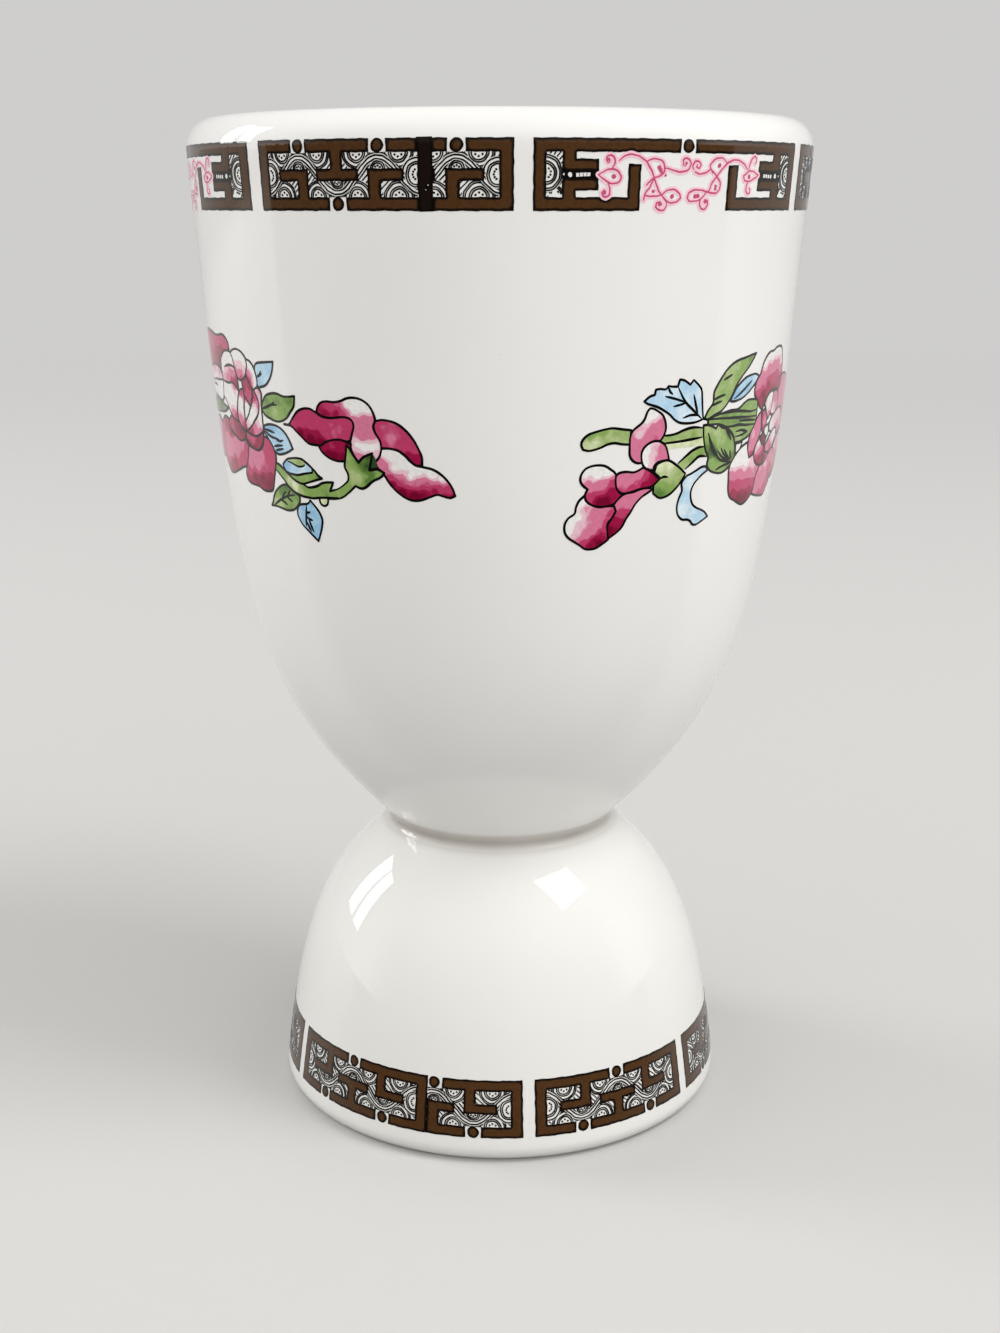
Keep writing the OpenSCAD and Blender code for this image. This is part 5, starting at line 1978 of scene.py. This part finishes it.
# The open peony at the right end of the right spray
PEONY_RIGHT = Motif(Paper(80, 23.4, 78.5), (
    petal("800,330 880,290 980,290 1080,320 1180,380 1260,470 1280,570 1220,650 1120,700 1000,710 880,690 "
          "800,600", "900,350,.4 1050,380,.36 1180,470,.34 950,480,.5 1100,560,.66 1200,600,.8 1000,640,.8"),
    petal("860,840 940,780 1040,735 1150,720 1240,760 1270,850 1230,940 1130,1010 1030,1060 940,1080 "
          "880,1000", "950,850,.3 1080,800,.34 1180,830,.4 1000,950,.6 1130,930,.75 1000,1030,.85"),
    petal("560,945 510,1000 490,1070 470,1150 560,1170 660,1185 760,1190 830,1150 900,1090 1000,950 940,880 "
          "860,840 730,880 640,935",
          "600,1000,.34 700,950,.3 800,900,.38 650,1080,.4 760,1030,.56 850,1000,.72 870,1070,.8 "
          "540,1100,.5 620,1150,.6 740,1150,.66 920,930,.5 580,1050,.4"),
    petal("50,900 60,1000 75,1080 110,1130 180,1160 250,1190 310,1205 370,1195 440,1160 480,1120 490,1060 "
          "510,1000 560,945 480,925 430,890 405,840 325,860 290,800 270,740 180,770 100,830",
          "150,840,0 230,800,0 300,880,0 200,880,.02 100,890,.04 90,950,.4 200,950,.4 350,960,.36 "
          "450,980,.34 400,900,.2 90,1030,.62 200,1040,.64 350,1050,.7 450,1060,.72 150,1110,.86 "
          "250,1150,.95 350,1160,.95 430,1120,.9"),
    petal("660,640 720,590 800,560 900,540 1000,560 1080,620 1060,700 960,740 860,720 760,710 680,700",
          "720,640,.1 850,610,.2 980,620,.3 900,690,.5"),
    petal("300,400 290,340 310,290 355,250 385,180 430,130 490,100 560,95 620,75 680,70 740,80 780,120 "
          "815,180 840,250 850,300 820,380 770,390 690,385 620,390 560,410 510,450 460,520 400,490 340,430",
          "420,180,.04 480,130,.02 560,130,.05 650,105,0 720,120,.04 770,170,.12 340,320,.4 400,260,.36 "
          "500,210,.38 600,200,.42 700,190,.44 790,240,.4 400,440,.85 450,400,.95 520,340,.85 600,310,.72 "
          "700,290,.74 800,310,.85 830,340,.9 350,400,.66 480,470,.95 560,390,.85 680,370,.8 780,365,.85 "
          "450,320,.55"),
    petal("500,490 530,440 580,405 650,390 670,420 665,500 640,570 600,600 560,560 530,510",
          "580,440,0 620,420,0 560,500,.08 640,500,.2 610,560,.4 530,480,.2"),
    petal("670,400 740,395 800,420 820,480 800,550 740,580 680,575 650,560 665,500",
          "700,440,.34 770,440,.36 760,520,.3 700,540,.12"),
    petal("470,530 520,520 560,560 590,620 560,680 530,700 490,640", "500,560,.6 540,620,.5 530,670,.8"),
    petal("450,530 400,560 350,620 300,680 285,740 295,810 325,860 380,840 410,790 450,740 480,690 470,600",
          "400,620,.36 350,700,.32 330,780,.36 400,740,.46 450,600,.5 340,840,.66"),
    petal("490,720 560,700 640,730 600,790 540,780", "560,740,1 520,730,1"),
    petal("560,660 640,640 660,700 640,730 600,730 560,700", "600,690,0"),
    petal("620,800 680,760 760,710 830,690 900,700 880,780 800,850 700,880 640,850",
          "700,800,.4 780,750,.15 850,730,.1 750,830,.62"),
    petal("480,730 430,770 405,830 430,890 480,925 560,940 640,935 700,910 730,860 680,860 620,840 590,800 "
          "540,780",
          "470,780,.1 450,830,.3 500,830,.42 520,890,.9 600,900,.95 660,890,.9 700,870,.6 450,880,.8"),
))


@dataclass
class FlowerSpray:
    """A spray that is printed at the front and again at the back of the cup.

    Attributes:
        transfer: The cup that it is laid on.
        motifs: What is drawn, from the back to the front.
        places: The azimuth, in degrees, of each node's copy.
    """

    transfer: Transfer
    motifs: tuple[Motif, ...]
    places: dict[str, float]
    line: float = 0.225
    vein: float = 0.26
    spacing: float = 0.3

    def build(self, workshop: Workshop) -> None:
        """Makes each copy of the spray."""
        sheet = Sheet(self.spacing)
        for motif in self.motifs:
            motif.draw(sheet, self.line, self.vein)
        films = sheet.films()
        for node, azimuth in self.places.items():
            meshes: Meshes = {}
            self.transfer.lay(workshop, films, (azimuth, 0, 1), meshes)
            self.transfer.place(workshop, node, meshes, node)


# Stage, light and camera

def away(azimuth: float, elevation: float) -> Vector:
    """Returns the direction of an azimuth and an elevation, in degrees."""
    a, e = math.radians(azimuth), math.radians(elevation)
    return Vector((math.sin(a) * math.cos(e), -math.cos(a) * math.cos(e), math.sin(e)))


@dataclass
class SoftBox:
    """A soft studio light that faces the cups."""

    name: str
    azimuth: float
    elevation: float
    distance: float
    width: float
    height: float
    power: float

    def build(self, aim: Vector) -> None:
        """Hangs the light, facing a point in metres."""
        data = bpy.data.lights.new(self.name, "AREA")
        data.shape = "RECTANGLE"
        data.size, data.size_y = self.width, self.height
        data.energy = self.power
        lamp = put(self.name, data)
        to = away(self.azimuth, self.elevation)
        lamp.location = aim + to * self.distance
        lamp.rotation_euler = to.to_track_quat("Z", "Y").to_euler()


@dataclass
class Glow:
    """A broad glow of the room, brightest in one direction, or a dimness where it is below 0."""

    azimuth: float
    elevation: float
    focus: float
    strength: float

    def add(self, tree: Tree, way: Socket, rest: Socket | float) -> Socket:
        """Adds the glow to a strength.

        Args:
            tree: The world's nodes.
            way: The direction.
            rest: The strength without the glow.

        Returns:
            The sum.
        """
        to = away(self.azimuth, self.elevation)
        facing = add_node(tree, "ShaderNodeVectorMath", {0: way, 1: to}, operation="DOT_PRODUCT")
        lit = add_node(tree, "ShaderNodeMath", {0: facing.outputs["Value"], 1: 0.0}, operation="MAXIMUM")
        faded = add_node(tree, "ShaderNodeMath", {0: lit.outputs[0], 1: self.focus}, operation="POWER")
        return add_node(tree, "ShaderNodeMath", {0: faded.outputs[0], 1: self.strength, 2: rest},
                        operation="MULTIPLY_ADD").outputs[0]


@dataclass
class Studio:
    """The plain pale floor, which fades into the room behind, the light and the camera."""

    floor_colour: str = "#d2d1cf"
    floor_bounce: str = "#9d9c9a"
    sky_colour: str = "#ecebea"
    sky: float = 0.69
    sky_seen: float = 0.74
    floor_radius: float = 6.0
    floor_sides: int = 96
    floor_fades: tuple[float, float] = (0.12, 1.1)
    tooth_mm: float = 0.6
    tooth_depth_mm: float = 0.05
    tooth_share: float = 0.3
    floor_roughness: float = 0.75
    floor_gloss: float = 0.2
    dusk_height: float = 1.3
    dusk_side: float = 0.5
    dusk: float = 0.9
    front_edge: tuple[float, float] = (0.0, 0.03)
    front_colour: str = "#302f2e"
    camera_place: tuple[float, float, float] = (0.0, -180.1, 90.4)
    camera_pitch: float = 14.44
    lens: float = 48.65
    aim: tuple[float, float, float] = (0, 0, 0.05)
    boxes: tuple[SoftBox, ...] = (
        SoftBox("window_left_outer", -113, 21, 1.1, 0.17, 0.5, 1.7),
        SoftBox("window_left_inner", -102, 21, 1.1, 0.15, 0.5, 1.5),
        SoftBox("window_right", 66, 53, 1.1, 0.42, 0.42, 3.8),
    )
    glows: tuple[Glow, ...] = (
        Glow(-75, 2, 3.0, 1.3),
        Glow(0, 0, 4.0, 0.7),
        Glow(50, 2, 3.0, 2.1),
        Glow(0, 90, 3.0, -0.2),
    )

    def build(self) -> None:
        """Makes the stage, the lights and the camera."""
        self.floor()
        self.world()
        for box_light in self.boxes:
            box_light.build(Vector(self.aim))
        self.camera()

    def floor(self) -> None:
        """Lays a round floor under the cups."""
        mesh = bpy.data.meshes.new("floor")
        a = np.linspace(0, math.tau, self.floor_sides + 1)[:-1]
        ring = [(self.floor_radius * math.cos(t), self.floor_radius * math.sin(t), 0.0) for t in a]
        mesh.from_pydata(ring, [], [list(range(len(ring)))])
        mesh.materials.append(self.floor_material())
        put("floor", mesh)

    def floor_material(self) -> bpy.types.Material:
        """Makes the floor's finish, and returns it.

        The camera sees the sky's colour far out, and reflections see a dim floor in front.
        """
        material = new_material("matt_board")
        tree = material.node_tree
        place = add_node(tree, "ShaderNodeTexCoord").outputs["Object"]
        tooth = add_node(tree, "ShaderNodeTexNoise", {"Vector": place, "Scale": 1 / (self.tooth_mm * MM),
                                                      "Detail": 2.0})
        bump = add_node(tree, "ShaderNodeBump", {
            "Height": tooth.outputs["Fac"], "Strength": self.tooth_share,
            "Distance": self.tooth_depth_mm * MM})
        path = add_node(tree, "ShaderNodeLightPath").outputs
        seen = add_node(tree, "ShaderNodeMath", {0: path["Is Camera Ray"], 1: path["Is Glossy Ray"]},
                        operation="MAXIMUM")
        colour = add_node(tree, "ShaderNodeMix", {"Factor": seen.outputs[0], "A": linear(self.floor_bounce),
                                                  "B": linear(self.floor_colour)}, data_type="RGBA")
        across = add_node(tree, "ShaderNodeSeparateXYZ", {"Vector": place}).outputs["Y"]
        front = add_node(tree, "ShaderNodeMapRange", {
            "Value": across, "From Min": -self.front_edge[0], "From Max": -self.front_edge[1]},
            interpolation_type="SMOOTHSTEP")
        dim = add_node(tree, "ShaderNodeMath", {0: front.outputs["Result"], 1: path["Is Glossy Ray"]},
                       operation="MULTIPLY")
        colour = add_node(tree, "ShaderNodeMix", {"Factor": dim.outputs[0], "A": colour.outputs["Result"],
                                                  "B": linear(self.front_colour)}, data_type="RGBA")
        surface = add_node(tree, "ShaderNodeBsdfPrincipled", {
            "Base Color": colour.outputs["Result"], "Roughness": self.floor_roughness,
            "Specular IOR Level": self.floor_gloss, "Normal": bump.outputs["Normal"]})
        around = add_node(tree, "ShaderNodeVectorMath", {0: place}, operation="LENGTH").outputs["Value"]
        near, far = self.floor_fades
        gone = add_node(tree, "ShaderNodeMapRange", {"Value": around, "From Min": near, "From Max": far},
                        interpolation_type="SMOOTHSTEP")
        share = add_node(tree, "ShaderNodeMath", {0: gone.outputs["Result"], 1: path["Is Camera Ray"]},
                         operation="MULTIPLY")
        paper = add_node(tree, "ShaderNodeEmission", {"Color": linear(self.sky_colour),
                                                      "Strength": self.sky_seen})
        sweep = add_node(tree, "ShaderNodeMixShader", {0: share.outputs[0], 1: surface.outputs["BSDF"],
                                                       2: paper.outputs["Emission"]})
        add_node(tree, "ShaderNodeOutputMaterial", {"Surface": sweep.outputs["Shader"]})
        return material

    def world(self) -> None:
        """Fills the room with an even pale light and its glows."""
        world = bpy.data.worlds.new("studio")
        world.use_nodes = True
        tree = world.node_tree
        tree.nodes.clear()
        way = add_node(tree, "ShaderNodeTexCoord").outputs["Generated"]
        glow = self.sky
        for part in self.glows:
            glow = part.add(tree, way, glow)
        path = add_node(tree, "ShaderNodeLightPath").outputs
        share = self.dusk_share(tree, way, path["Is Glossy Ray"])
        glow = add_node(tree, "ShaderNodeMath", {0: glow, 1: share}, operation="MULTIPLY").outputs[0]
        strength = add_node(tree, "ShaderNodeMix", {"Factor": path["Is Camera Ray"], "A": glow,
                                                    "B": self.sky_seen})
        light = add_node(tree, "ShaderNodeBackground", {"Color": linear(self.sky_colour),
                                                        "Strength": strength.outputs["Result"]})
        add_node(tree, "ShaderNodeOutputWorld", {"Surface": light.outputs["Background"]})
        bpy.context.scene.world = world

    def dusk_share(self, tree: Tree, way: Socket, glossy: Socket) -> Socket:
        """Adds what glossy rays see of the room's light, which is little towards the low front.

        Args:
            tree: The world's nodes.
            way: The direction.
            glossy: Whether the ray is a glossy one.

        Returns:
            The share, 1 for other rays and other directions.
        """
        parts = add_node(tree, "ShaderNodeSeparateXYZ", {"Vector": way}).outputs
        low = add_node(tree, "ShaderNodeMapRange", {"Value": parts["Z"], "From Min": self.dusk_height,
                                                    "From Max": 0.0}, interpolation_type="SMOOTHSTEP")
        ahead = add_node(tree, "ShaderNodeMapRange", {
            "Value": parts["Y"], "From Min": 0.0, "From Max": -self.dusk_side},
            interpolation_type="SMOOTHSTEP")
        both = add_node(tree, "ShaderNodeMath", {0: low.outputs["Result"], 1: ahead.outputs["Result"]},
                        operation="MULTIPLY")
        dim = add_node(tree, "ShaderNodeMath", {0: both.outputs[0], 1: glossy}, operation="MULTIPLY")
        return add_node(tree, "ShaderNodeMath", {0: dim.outputs[0], 1: -self.dusk, 2: 1.0},
                        operation="MULTIPLY_ADD").outputs[0]

    def camera(self) -> None:
        """Sets the camera at the photograph's viewpoint."""
        data = bpy.data.cameras.new("camera")
        data.lens = self.lens
        data.sensor_width = 36.0
        data.clip_start = 0.005
        camera = put("camera", data)
        camera.location = [c * MM for c in self.camera_place]
        camera.rotation_euler = (math.radians(90 - self.camera_pitch), 0.0, 0.0)
        bpy.context.scene.camera = camera


def main() -> None:
    """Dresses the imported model, one sub-assembly after another."""
    logging.basicConfig(level=logging.INFO, format="%(message)s")
    bpy.context.scene.view_settings.view_transform = "Standard"
    workshop = Workshop(lathe(), wrapper(), {key: finish.material() for key, finish in ENAMELS.items()})
    waist = Waist()
    large, small = LargeCup(waist), SmallCup(waist)
    large_piece = large.build(workshop)
    small_piece = small.build(workshop)
    SlipJoint(waist).build(workshop)
    rim_drop, rim_h, rim_sweep = 2.52, 5.74, 32.8
    foot_z, foot_h = 2.75, 5.7
    foot_sweep = (360 - FootBorder.cut_sweep) / FootBorder.panels - FootBorder.gap
    spray_r = 28.0
    rim_z = large.height - rim_drop - rim_h
    rim_r = large.outside().radius(rim_z + rim_h / 2)
    foot_r = small.outside().radius(foot_z + foot_h / 2)
    RimBorder(Transfer(large_piece, large.outside(), rim_r), rim_z, rim_h, rim_sweep).build(workshop)
    FootBorder(Transfer(small_piece, small.outside(), foot_r), foot_z, foot_h,
               foot_sweep, flipped=True).build(workshop)
    paper_cup = Transfer(large_piece, large.outside(), spray_r)
    FlowerSpray(paper_cup, (BUD_LEFT, LEAVES_LEFT, PEONY_LEFT),
                {"front_left_spray": 0.0, "back_right_spray": 180.0}).build(workshop)
    FlowerSpray(paper_cup, (LEAVES_RIGHT, SERRATED_RIGHT, BUD_RIGHT, CALYX_RIGHT, PEONY_RIGHT),
                {"front_right_spray": 0.0, "back_left_spray": 180.0}).build(workshop)
    Studio().build()


if __name__ == "__main__":
    main()
